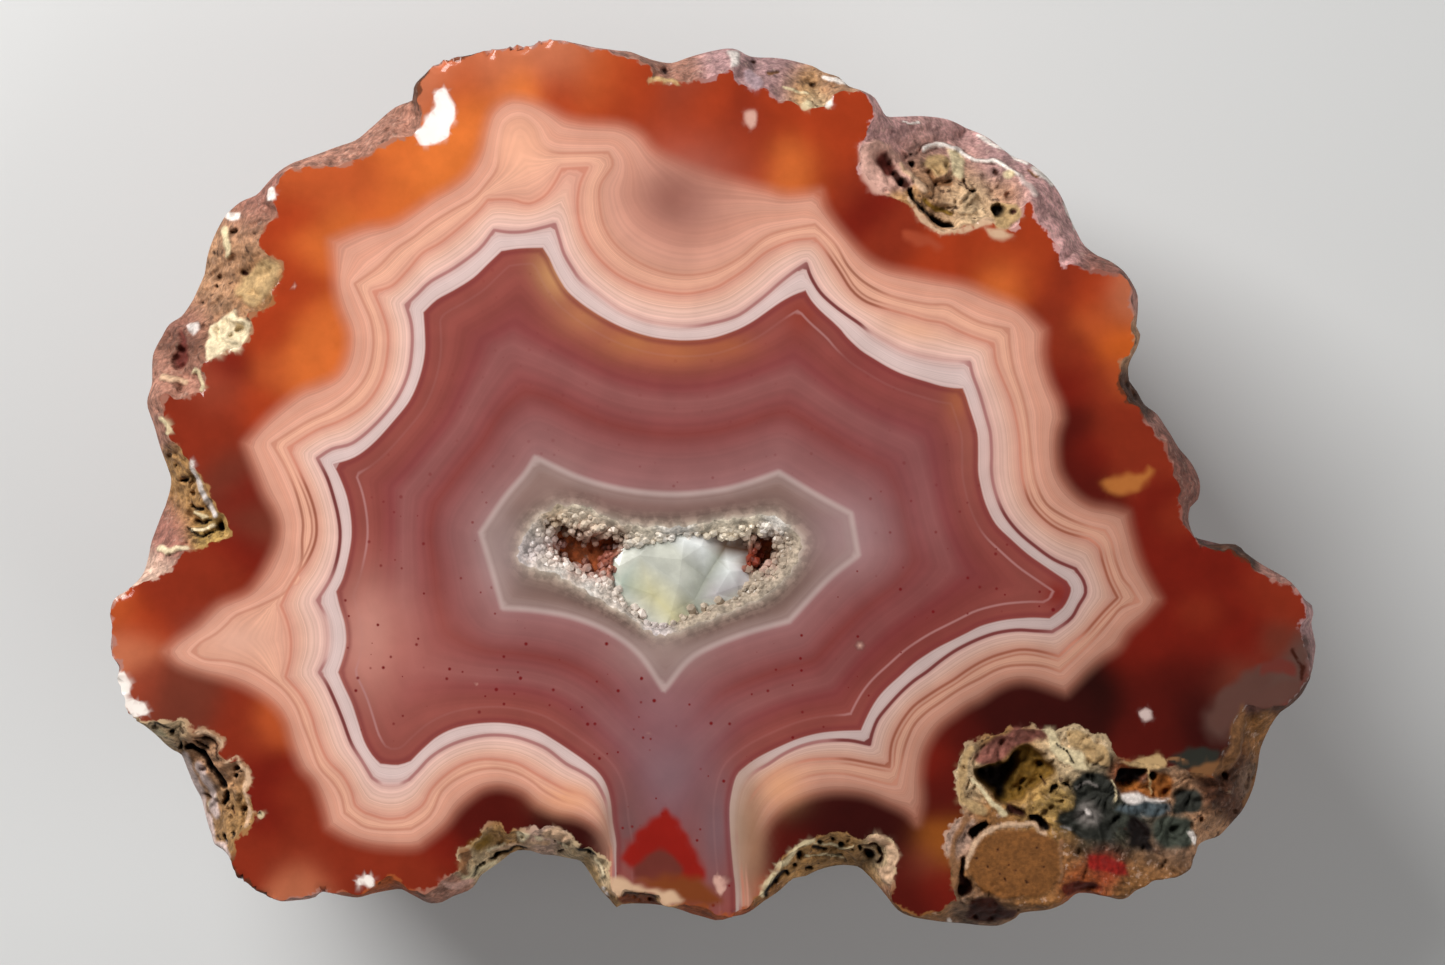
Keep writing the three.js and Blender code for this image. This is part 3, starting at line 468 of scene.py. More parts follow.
DRUSE_EDGE = [
    (-13.9, -3.6), (-13.25, -2.5), (-11.7, -1.6), (-9.05, -1.8), (-6.9, -2.9), (-3.8, -3.15), (-0.7, -2.9),
    (1.95, -2.5), (4.35, -2.25), (6.3, -3.8), (6.55, -5.1), (5.45, -6.9), (3.7, -8.4), (1.05, -9.5),
    (-1.6, -10.6), (-3.8, -11.3), (-5.55, -10.4), (-7.75, -9.1), (-9.95, -7.75), (-11.7, -6.65),
    (-13.9, -6.2), (-14.8, -5.1),
]

MATRIX_GROUP = [
    (19, -19.6), (20.5, -18.9), (22.5, -18.4), (24.5, -18.3), (26.2, -18.3), (27.5, -18.2), (29.4, -19),
    (30.4, -20.4), (32.6, -20.9), (35, -21.3), (37, -21.9), (40, -23), (40, -29), (36, -32), (28, -34),
    (18, -35), (18.1, -31.3), (17.9, -29.8), (17.7, -28.4), (17.35, -27.2), (17.6, -26), (18.2, -25.2),
    (18.9, -24.8), (18.6, -23.6), (18.35, -22.7), (18.35, -21.3), (18.7, -20.1),
]

# Colours of the outer agate, between the bands and the rind, and where each is: place and how far it reaches.
AGATE_COLOURS = {
    "glow": "#d46e30", "bright": "#c6622b", "orange": "#af4e25", "ember": "#9c3617", "rust": "#822a16",
    "red": "#70190d", "deep": "#4f1009", "dark": "#340906", "black": "#210503", "coral": "#b86848",
    "clay": "#8c3a26", "amber": "#b8541c", "earth": "#6c3022", "bronze": "#8b4a18",
}
AGATE_SPOTS = {
    "glow": [(-14.8, 29.4, 1.6), (-21, 23.8, 1.8), (-18.6, 25.4, 1.6), (-18, 27.8, 1.6)],
    "bright": [
        (6, 24, 1.8), (21.7, 15.4, 1.8), (-31, 9, 1.4), (-29.4, 9.6, 1.5), (-29.6, 12, 1.6),
        (-30, 17.8, 1.5), (-24, 21.6, 1.8), (-23.4, 24.6, 1.7), (-27.6, 20, 1.2),
    ],
    "orange": [
        (-18.3, 29.8, 2), (-8.5, 30.4, 2.2), (29, 12.2, 1.6), (30.5, 8.3, 1.2), (-33.2, -17.9, 1.4),
        (-44.6, -9.6, 1.2), (-33, 8.6, 1.5), (-31, 22.6, 1.6), (-28.4, 21.8, 1.8), (-26, 22.5, 1.8),
    ],
    "ember": [
        (-11.5, 29.5, 1.6), (-5.5, 30.4, 2), (-7, 28.3, 2), (-1, 28.1, 2), (0.5, 25.6, 2), (5, 28.1, 1.6),
        (8, 26.8, 2), (3, 24.4, 1.6), (10.4, 27.6, 1.8), (8.9, 23.8, 1.6), (17, 17.6, 1.8),
        (18.8, 16.6, 1.8), (20.7, 17.8, 1.6), (22.4, 17.6, 1.6), (24, 15.6, 1.6), (28.4, 14.4, 1.6),
        (3.4, -30.6, 1.2), (-43.2, -10.2, 1.6), (-34.4, 6.2, 1.5), (-31.4, 13.8, 1.7), (-33.6, 11.2, 1.6),
        (-31.4, 16.4, 1.4), (-31.6, 20.2, 1.8),
    ],
    "rust": [
        (2.6, 27.2, 1.8), (10.2, 22.5, 1.4), (14, 18.9, 1.6), (25.2, 13.1, 1.4), (26.4, 15.2, 1.4),
        (27.2, 10.1, 1.4), (29, 7.9, 1.5), (29.9, 4.2, 1.4), (31.4, 3.4, 1.4), (31, 0.4, 1.3),
        (33, 1.9, 1.4), (34.4, -2.6, 1.2), (41, -7.8, 1.6), (43.2, -9, 1.4), (36.7, -9.6, 1.3),
        (-21.5, -29.4, 1.6), (-23.5, -28.5, 1.5), (-26, -28.6, 1.8), (-29, -28, 1.8), (-32, -27.4, 1.8),
        (-30.6, -25.6, 1.3), (-34.8, -28, 1.6), (-31.4, -23.4, 1.5), (-34.8, -19, 1.6), (-36, -17.2, 1.6),
        (-41, -8.6, 1.6), (-39.2, -7.8, 1.5), (-37, -6.6, 1.6), (-37.8, 3, 1.8), (-36.6, 4.8, 1.6),
        (-39.8, 5, 1.6),
    ],
    "red": [
        (11.7, 21, 1.4), (26.9, 7.4, 1.3), (28.2, 2.4, 1.3), (32.8, -1.1, 1.4), (32.9, -4.1, 1.6),
        (35.2, -5.8, 1.6), (33.8, -7.6, 1.3), (36.7, -7.1, 1.6), (38.9, -6.6, 1.5), (39.5, -9, 1.8),
        (36.5, -11.4, 1.6), (39.5, -11.6, 1.6), (42.5, -14.5, 1.5), (33.5, -11.4, 1.5), (31.2, -12.8, 1.6),
        (16.6, -20.8, 1.4), (16.4, -30, 1.3), (-20.4, -27.4, 1.6), (-33.2, -25, 1.5), (-33.6, -21.8, 1.6),
        (-35.4, -4.8, 1.5), (-35, -0.6, 1.5), (-36, 9, 1.3),
    ],
    "deep": [
        (26.9, 4.3, 1.5), (27.3, 1.1, 1.4), (29.7, -0.8, 1.3), (36.5, -13.6, 1.8), (32.7, -15.6, 2),
        (33, -18.6, 1.8), (18.7, -19.1, 1.6), (17.6, -22, 1.2), (16.4, -23.8, 1.4), (14.9, -30.6, 1.6),
        (5, -26.4, 1.4), (3.7, -28.4, 1.2), (14.3, -28.6, 1.2), (6.6, -26.6, 1), (-15.2, -24.2, 1.8),
        (-18, -25.4, 1.8), (-8.3, -28, 1),
    ],
    "dark": [
        (36.5, -17, 2), (26.7, -16.6, 1.8), (24.5, -16.6, 1.6), (21.7, -17.4, 1.8), (10, -24.2, 1.8),
        (7, -25, 1.6), (12.6, -24.9, 1.6), (14.3, -26.4, 1.3), (-12, -25.2, 1.6), (-9, -26.2, 1.4),
    ],
    "black": [(29, -15, 2)],
    "coral": [
        (-21.3, 31.4, 2), (-16.5, 31.2, 2), (-11.5, 31.9, 2), (30.9, 13.9, 1.4), (-31, -30, 1.6),
        (-43.9, -12.4, 1.5),
    ],
    "clay": [(-2.5, 30, 1.6), (-42.6, -14.8, 1.4), (-37, 7, 1.8)],
    "amber": [(30.3, 10.5, 1.4)],
    "earth": [
        (42.5, -11.8, 1.4), (39.4, -15, 1.8), (15.5, -28.3, 1.3), (-38.5, -16.4, 1.6), (-40.5, -15.5, 1.5),
        (-34.2, -2.6, 1.6), (-36.2, 1, 1.6),
    ],
    "bronze": [(16.6, -26.8, 1.5)],
}

# Soft stains on the bands and inside them: place, two radii, turn in degrees, colour and strength.
INNER_STAINS = [
    (10, -3.6, 3.4, 3, 0, "#a48484", 0.7), (-16, -5, 1.8, 3.4, 0, "#a08884", 0.7),
    (-3.8, -12.6, 3, 1.6, 0, "#a48c84", 0.6), (-5, -1.2, 7, 0.9, 0, "#86645e", 0.7),
    (-12.6, 0.2, 2.4, 1.4, 20, "#967870", 0.6), (15, -10.6, 9, 3.6, 38, "#6a2424", 0.5),
    (-3.4, -21.5, 3.6, 5, 0, "#7c5f65", 0.85), (-4, -17.5, 5, 3, 0, "#885a5e", 0.55),
    (0.2, -26, 1.6, 4.5, 0, "#74565a", 0.9), (-6.4, -25.6, 1.4, 3, 0, "#6c4a4a", 0.9),
    (-25.6, -11.5, 2.6, 4.2, 0, "#d49a8a", 0.75), (-22.5, -13, 4.6, 5, 0, "#a85f55", 0.5),
    (-12, 15.6, 1.2, 2, 30, "#c08a5c", 0.9), (-9.5, 12.6, 2, 1.3, 0, "#b0704c", 0.85),
    (-6, 10.7, 2.4, 1.2, 0, "#b06c44", 0.85), (-2.5, 9.9, 2.6, 1.1, 0, "#ac6440", 0.85),
    (1, 10.4, 2, 1, 0, "#a05838", 0.75), (18.3, 6.3, 1, 1.8, 0, "#a8603c", 0.7),
    (19.2, 3, 0.9, 3, 0, "#9a5a48", 0.5), (14, 1, 5, 6, 0, "#7c464a", 0.3),
    (6.6, 12.6, 1.2, 1.4, 0, "#8a3424", 0.6), (25.8, -8.2, 1, 1, 0, "#7a1c14", 0.8),
    (12, 8.4, 4, 1.2, -30, "#7c3034", 0.4),
]
OUTER_STAINS = [
    (-2.6, 21, 4.4, 4, 0, "#a06a5e", 0.85), (-3.2, 21.6, 2, 1.8, 0, "#8a564a", 0.75),
    (-14.5, 25.3, 1.8, 2, 0, "#ecac8c", 0.7), (-35.6, -11.6, 2.6, 1.4, 0, "#d9a48e", 0.85),
    (-11, -23.5, 1.8, 1, 0, "#dc9a72", 0.7), (5, -22.6, 1.8, 1.6, 30, "#dc9c70", 0.6),
    (15, 11.6, 2.2, 0.8, -10, "#e2a888", 0.6), (2, -26, 1.3, 5.6, 0, "#a0826e", 0.95),
    (3, -26.5, 0.9, 4.6, 0, "#946a50", 0.8), (-7.8, -25.4, 0.9, 3.4, 0, "#8a6656", 0.8),
    (20.8, 2.4, 1.6, 5, 0, "#c8988a", 0.4),
]

# Where a fine line fades: place, radius and which of the three lines.
FADES = [
    (13.5, 10.2, 3.4, 0), (17, 9.2, 2.4, 0), (2.4, -24, 3.4, 0), (2, -29, 3.4, 0), (-7.6, -26, 3, 0),
    (-24.2, -22.4, 1.2, 0), (-29, -11.4, 2.4, 0), (-6, 12.4, 6, 0), (4.6, -21.4, 2.6, 1), (2.4, -26, 4, 1),
    (-8.4, -25, 4, 1), (4.6, -22.6, 3, 2), (2.4, -27, 4, 2), (-9, -25, 3.6, 2), (-14.5, 26, 3.4, 2),
]

# Where the fine lines are dark: place and radius.
DARK_STRETCHES = [
    (9.2, 13.8, 4.4), (24, -4, 4.5), (28, -8, 4), (20, -12, 7), (14, -16, 5), (11.8, -19, 3.5),
    (-28.4, -2.5, 5), (-26.5, -16.6, 4),
]

# Colours of the crisp details on the face and in the matrix.
PAINTS = {
    "snow": "#fbeee6", "white": "#f2e6dc", "ivory": "#e0cca8", "pearl": "#d8ccc4", "cream": "#d8c49c",
    "beige": "#cda888", "sand": "#bc9a6c", "clay": "#8a6040", "plug": "#7e4f26", "honey": "#ac6630",
    "amber": "#9a5a26", "ochre": "#94702c", "olive": "#7c5a20", "rust": "#7a3c1c", "brick": "#5e2212",
    "fire": "#8a1a12", "earth": "#6a3028", "umber": "#3a180e", "black": "#140906", "soot": "#2c2c26",
    "moss": "#3e4238", "slate": "#525c60", "grey": "#78706a", "lilac": "#5c4038", "dusk": "#8a5448",
    "mauve": "#b09498", "rosy": "#c8b0a8", "blush": "#cfa090", "flame": "#a0442a", "brown": "#7c5434",
    "haze": "#5c3c34",
}
# Crisp details of the matrix and the face: colour, softness of the edge, how far it stands out, and outline.
SHAPES = [
    ("snow", 0.12, 0, [
        (-20.7, 29.6), (-20.2, 29.8), (-19.8, 29.2), (-19.5, 28.3), (-19.6, 27.4), (-20, 26.3),
        (-20.5, 25.6), (-21.3, 25.3), (-22, 25.6), (-22.4, 26.4), (-21.8, 27), (-21.3, 27.6), (-21, 28.5),
    ]),
    ("white", 0.12, 0, [
        (-44.9, -14.2), (-44.1, -14), (-43.8, -15), (-43.4, -16.1), (-42.5, -16.5), (-42.1, -16.9),
        (-42.8, -17.3), (-43.6, -17.3), (-44.3, -16.6), (-44.6, -15.6),
    ]),
    ("ivory", 0.12, 0.2, [
        (-38.1, 12.2), (-37.2, 12.5), (-36.5, 12.9), (-36, 13.1), (-35.8, 12.6), (-34.8, 12.3),
        (-34.9, 11.4), (-35.2, 10.6), (-35.8, 10), (-36.6, 10.1), (-37.2, 9.6), (-37.9, 9.3), (-38.1, 11),
    ]),
    ("rosy", 0.15, 0, [
        (32.1, -16.9), (32.5, -16.7), (32.9, -17), (32.8, -17.5), (32.4, -17.7), (32.1, -17.4),
    ]),
    ("blush", 0.2, 0, [(2.4, 27.9), (2.9, 28.1), (3.3, 27.6), (3.2, 26.9), (2.7, 26.8), (2.3, 27.2)]),
    ("honey", 0.35, 0, [
        (29.1, 0.1), (29.9, 0.7), (31, 0.8), (32.2, 0.8), (32.7, 1.3), (33, 1), (32.6, 0.2), (31.8, -0.3),
        (30.6, -0.6), (29.5, -0.5),
    ]),
    ("lilac", 0.9, 0, [
        (38.2, -15.9), (40.2, -14.6), (42.4, -13.2), (44.2, -11.2), (45, -12.6), (44.6, -14.6),
        (42.6, -16.8), (39.8, -16.8), (38.4, -19), (37.1, -18.6), (37, -17.2),
    ]),
    # The red diamond and the ledge at the bottom of the funnel.
    ("fire", 0.35, 0, [
        (-3.6, -24.4), (-2.8, -25.1), (-2, -26.2), (-1.3, -27.5), (-0.6, -29), (-0.8, -29.9), (-1.8, -30),
        (-4.2, -29.6), (-6.4, -28.6), (-7.1, -28), (-6.2, -26.6), (-5, -25.6),
    ]),
    ("earth", 0.3, 0, [
        (-4.2, -27.2), (-3.2, -27.6), (-2.4, -28.5), (-2.3, -29.4), (-4, -29.7), (-5.8, -29.4),
        (-6.1, -28.8), (-5.2, -27.9),
    ]),
    ("rust", 0.5, 0, [(-6, -29.6), (-2, -29.4), (-0.6, -30), (0.8, -31.2), (-1.2, -31.6), (-4, -30.4)]),
    ("blush", 0.12, 0, [(0.1, -29.3), (0.5, -29.4), (0.9, -30.2), (0.7, -30.7), (0.3, -30.4), (0, -29.9)]),
    ("beige", 0.25, 0.1, [
        (-7.6, -29.6), (-7, -29.4), (-6.5, -29.7), (-6.2, -30), (-4, -30.3), (-3, -30.4), (-2.3, -31),
        (-2.8, -31.5), (-3.6, -31.5), (-3.9, -30.9), (-5, -30.5), (-6.4, -30.6), (-6.9, -31), (-7.5, -30.6),
    ]),
    ("rust", 0.15, -0.2, [(-6.8, -30.8), (-5, -30.8), (-4.2, -31.1), (-3.8, -31.7), (-6.8, -31.7)]),
    # The lower right group: the open hole, the cream wedges, the round plug and the moss.
    ("dusk", 0.2, 0, [
        (19.8, -20.2), (20.4, -19.4), (21.6, -18.7), (23, -18.3), (24.6, -18.3), (24.9, -18.9),
        (23.8, -19.3), (22.6, -19.6), (21.9, -20.2), (21.2, -21), (20.2, -21.1), (19.7, -20.8),
    ]),
    ("olive", 0.25, -1.5, [
        (19.6, -21.3), (20.5, -21.3), (21.8, -20.8), (22.8, -19.8), (24.4, -19.7), (25.2, -21),
        (25.6, -21.8), (24.6, -22.3), (23.8, -23.1), (22.4, -23.9), (21.6, -24), (20.8, -23), (19.8, -22.1),
    ]),
    ("black", 0.35, -1.3, [
        (19.6, -21.4), (20.6, -21.4), (21.8, -21), (22.5, -20.2), (22.9, -20.8), (22.4, -21.8),
        (22.1, -23.2), (21.6, -23.8), (20.9, -22.9), (19.9, -22),
    ]),
    ("cream", 0.1, 0.5, [
        (24.7, -18.3), (25.1, -18.3), (25.9, -19.1), (26.2, -19.6), (26.9, -19.8), (27.6, -20.3),
        (28.4, -21), (28, -21.4), (27, -21.4), (26.6, -21.1), (25.8, -20.9), (25.4, -20.2), (25, -19.2),
    ]),
    ("sand", 0.1, 0.3, [
        (26.6, -18.5), (27.4, -18.6), (28.3, -19), (29.5, -19.8), (29.8, -20.6), (29.6, -21), (28.3, -20.9),
        (27.6, -20.2), (26.9, -19.5),
    ]),
    ("black", 0.1, -1.4, [
        (19, -26.2), (19.3, -26.6), (20, -26), (20.8, -25.5), (20.6, -25.2), (19.8, -25.5),
    ]),
    ("umber", 0.12, -0.9, [(22, -24.1), (23, -24.3), (23.4, -24.8), (22.8, -24.9), (22.2, -24.8)]),
    ("black", 0.1, -1.5, [
        (23.7, -24.8), (24.5, -25), (25.3, -25.5), (25.4, -26), (24.9, -26.1), (24.3, -25.6),
    ]),
    ("umber", 0.12, -1.1, [
        (18.9, -27.8), (18.6, -28.6), (18.5, -30.8), (19.1, -30.8), (19.5, -30.3), (18.9, -29.2),
        (19.1, -28.4),
    ]),
    ("plug", 0.12, 0.2, [
        (19.3, -28.2), (19.7, -27), (20.6, -26.3), (22, -25.9), (23.4, -25.8), (24.6, -26.1), (25.6, -26.7),
        (26, -27.6), (25.9, -28.8), (25.5, -30), (24.6, -30.8), (23.2, -31), (21.4, -31), (20.3, -30.5),
        (19.6, -29.6),
    ]),
    ("soot", 0.2, -0.2, [
        (26.9, -22.6), (27.2, -21.9), (28, -21.6), (29, -21.7), (29.9, -22.1), (30.3, -22.8), (30, -23.8),
        (30.4, -25.4), (30.1, -26.4), (29, -26.7), (27.8, -26.5), (26.1, -25.6), (25.9, -24.8),
        (27.2, -23.8),
    ]),
    ("grey", 0.5, 0.1, [
        (27.4, -24.2), (28.4, -24), (28.9, -24.6), (28.6, -25.4), (28, -25.6), (27.4, -25.1),
    ]),
    ("sand", 0.12, 0.2, [
        (30.5, -20.9), (31.5, -20.7), (32.5, -20.4), (33.6, -20.2), (34, -20.7), (33.7, -21.3),
        (32.9, -21.5), (31.6, -21.2),
    ]),
    ("black", 0.12, -1.4, [
        (30.4, -22), (30.8, -21.4), (32.5, -21.4), (32.2, -22), (32, -22.6), (30.6, -22.6),
    ]),
    ("amber", 0.2, -0.3, [
        (30.6, -22.6), (32.4, -22.4), (32.8, -21.8), (34.3, -22), (34.3, -23.3), (32.6, -23.4), (30.7, -23),
    ]),
    ("pearl", 0.12, 0.2, [
        (30.6, -23.1), (32, -23.2), (32.8, -23.6), (34.1, -23.6), (33.2, -24), (31.8, -24), (30.9, -23.7),
    ]),
    # A grey-blue band painted as a highlight.
    ("slate", 0.2, 0, [(30.4, -24), (33, -23.9), (34.2, -24), (34, -24.7), (32.6, -24.8), (30.6, -24.6)]),
    ("black", 0.2, -0.1, [
        (31.2, -24.9), (32, -24.9), (33, -26), (32.8, -26.8), (33.1, -27.4), (32, -27.4), (31.2, -26.9),
        (31, -26),
    ]),
    ("moss", 0.3, 0, [(33, -25), (35.6, -25), (35.9, -26.4), (35.6, -27.2), (33.6, -27)]),
    ("soot", 0.2, -0.2, [
        (34.6, -23.2), (35.6, -22.8), (36.6, -23.2), (36.8, -24), (36.4, -24.7), (34.4, -24.6),
    ]),
    ("soot", 0.25, -0.2, [
        (34.2, -20.6), (35, -20), (36.2, -19.6), (37.6, -19.8), (37.8, -20.6), (36.6, -21.2), (34.6, -21.1),
    ]),
    ("fire", 0.2, 0, [
        (28.2, -27.8), (29.2, -27.8), (30.2, -28), (31, -28.6), (31, -29.2), (30.2, -29.3), (29, -28.9),
        (28.2, -28.5),
    ]),
    ("umber", 0.2, -0.2, [
        (19.4, -31.3), (20.4, -31), (21.4, -31.2), (22, -32), (22.9, -32.1), (22.6, -32.9), (19.6, -33),
        (19.1, -32.2),
    ]),
    ("brick", 0.15, -0.2, [
        (26.3, -29.9), (27.4, -29.7), (28.8, -29.9), (29.2, -30.5), (28, -30.6), (26.9, -30.9),
        (26.2, -30.5),
    ]),
    # The upper right pocket.
    ("blush", 0.25, 0.35, [
        (11.1, 25.6), (12.2, 25.9), (13.2, 25.7), (13.9, 25.2), (14.6, 24.2), (15, 22.6), (14.2, 22.2),
        (12.8, 21.8), (12, 22.1), (11.4, 22.6), (11, 23.6), (10.9, 24.8),
    ]),
    ("earth", 0.2, -0.9, [
        (12.3, 24.8), (12.7, 25), (13.1, 25), (13.4, 24.5), (13.7, 23.9), (13.7, 23.3), (13.2, 23.2),
        (12.7, 23.6), (12.3, 24.2),
    ]),
    ("sand", 0.2, 0.3, [
        (15.9, 24.4), (16.4, 25.1), (17.3, 25.2), (17.9, 24.6), (17.6, 23.7), (16.7, 23.5),
    ]),
    ("cream", 0.2, 0.25, [
        (17.8, 25.7), (18.8, 25.4), (19.3, 24.6), (18.8, 23.2), (18.2, 23.4), (18.1, 24.4),
    ]),
    ("sand", 0.15, 0.5, [
        (21, 21), (22, 21.2), (22.9, 20.8), (23, 20), (22.4, 19.3), (21.6, 19.2), (21, 19.8),
    ]),
    ("beige", 0.2, 0.1, [
        (20.4, 19.4), (21, 19.4), (22, 19.1), (22.5, 18.8), (21.8, 18.4), (21, 18.4), (20.6, 18.8),
    ]),
    ("flame", 0.3, 0, [
        (14.1, 18.9), (15.2, 19), (16, 18.7), (16.8, 18.2), (17.2, 17.8), (16.6, 17.7), (15.6, 18),
        (14.4, 18.2),
    ]),
    # The left side, from the top down.
    ("sand", 0.3, 0.2, [
        (-36, 14.8), (-35, 13.4), (-33.6, 14), (-32.8, 15.4), (-32.7, 16.6), (-33.8, 17), (-35, 16),
    ]),
    ("earth", 0.25, -0.8, [
        (-40.7, 11.6), (-40.2, 11.2), (-39.8, 10.6), (-39.7, 9.6), (-40, 8.9), (-40.6, 8.8), (-40.8, 9.6),
        (-40.5, 10.4),
    ]),
    ("pearl", 0.15, 0.2, [(-40, 12), (-39.2, 12.3), (-38.9, 11.6), (-39.4, 11.3)]),
    ("cream", 0.12, 0.3, [
        (-42.2, -18.5), (-41.7, -18.3), (-41.2, -18.5), (-41.1, -18.9), (-41.8, -18.9), (-42.4, -18.9),
    ]),
    # The two scoops in the lower edge.
    ("ivory", 0.1, 0.4, [(-14.9, -26.1), (-14.3, -26), (-13.9, -26.3), (-14.1, -26.8), (-14.7, -26.8)]),
    ("ivory", 0.1, 0.3, [(-13.6, -26.3), (-13, -26.3), (-12.9, -26.7), (-13.6, -26.7)]),
    ("beige", 0.12, 0.4, [
        (-12.9, -26), (-12.2, -25.6), (-11.4, -25.9), (-10.8, -26.2), (-10.6, -26.7), (-11, -26.9),
        (-12.8, -26.5),
    ]),
    ("olive", 0.4, 0, [
        (-18.2, -27.2), (-17.4, -26.2), (-16.8, -26.2), (-16.6, -26.9), (-17, -27.4), (-17.8, -27.8),
    ]),
    ("beige", 0.12, 0.4, [
        (11.6, -26.2), (12.3, -26.1), (13, -26.3), (13.5, -27), (13.8, -27.8), (13.6, -28.8), (13.4, -29.7),
        (13.1, -30), (12.5, -29.4), (12.4, -28.8), (12.9, -28.4), (13, -27.6), (12.6, -27), (11.8, -26.8),
    ]),
    ("umber", 0.1, -0.9, [(11.4, -27.3), (12, -27.4), (12.2, -27.9), (11.6, -28.1)]),
    ("white", 0.1, 0.1, [(-26.9, -29.6), (-26, -29.3), (-25.2, -29.5), (-25.3, -30), (-26.6, -30.1)]),
    # The rind along the top.
    ("pearl", 0.12, 0.2, [(1.1, 32.8), (1.6, 33), (2, 32.4), (1.8, 31.6), (1.4, 31.3), (1.2, 32)]),
    ("mauve", 0.15, 0.3, [
        (2.2, 31.2), (3, 31.3), (3.6, 30.8), (3.7, 30), (3.2, 29.6), (2.6, 29.9), (2.1, 30.4),
    ]),
    ("white", 0.12, 0.2, [(8.4, 28.4), (9, 29), (9.1, 28.6), (8.7, 28.3)]),
]

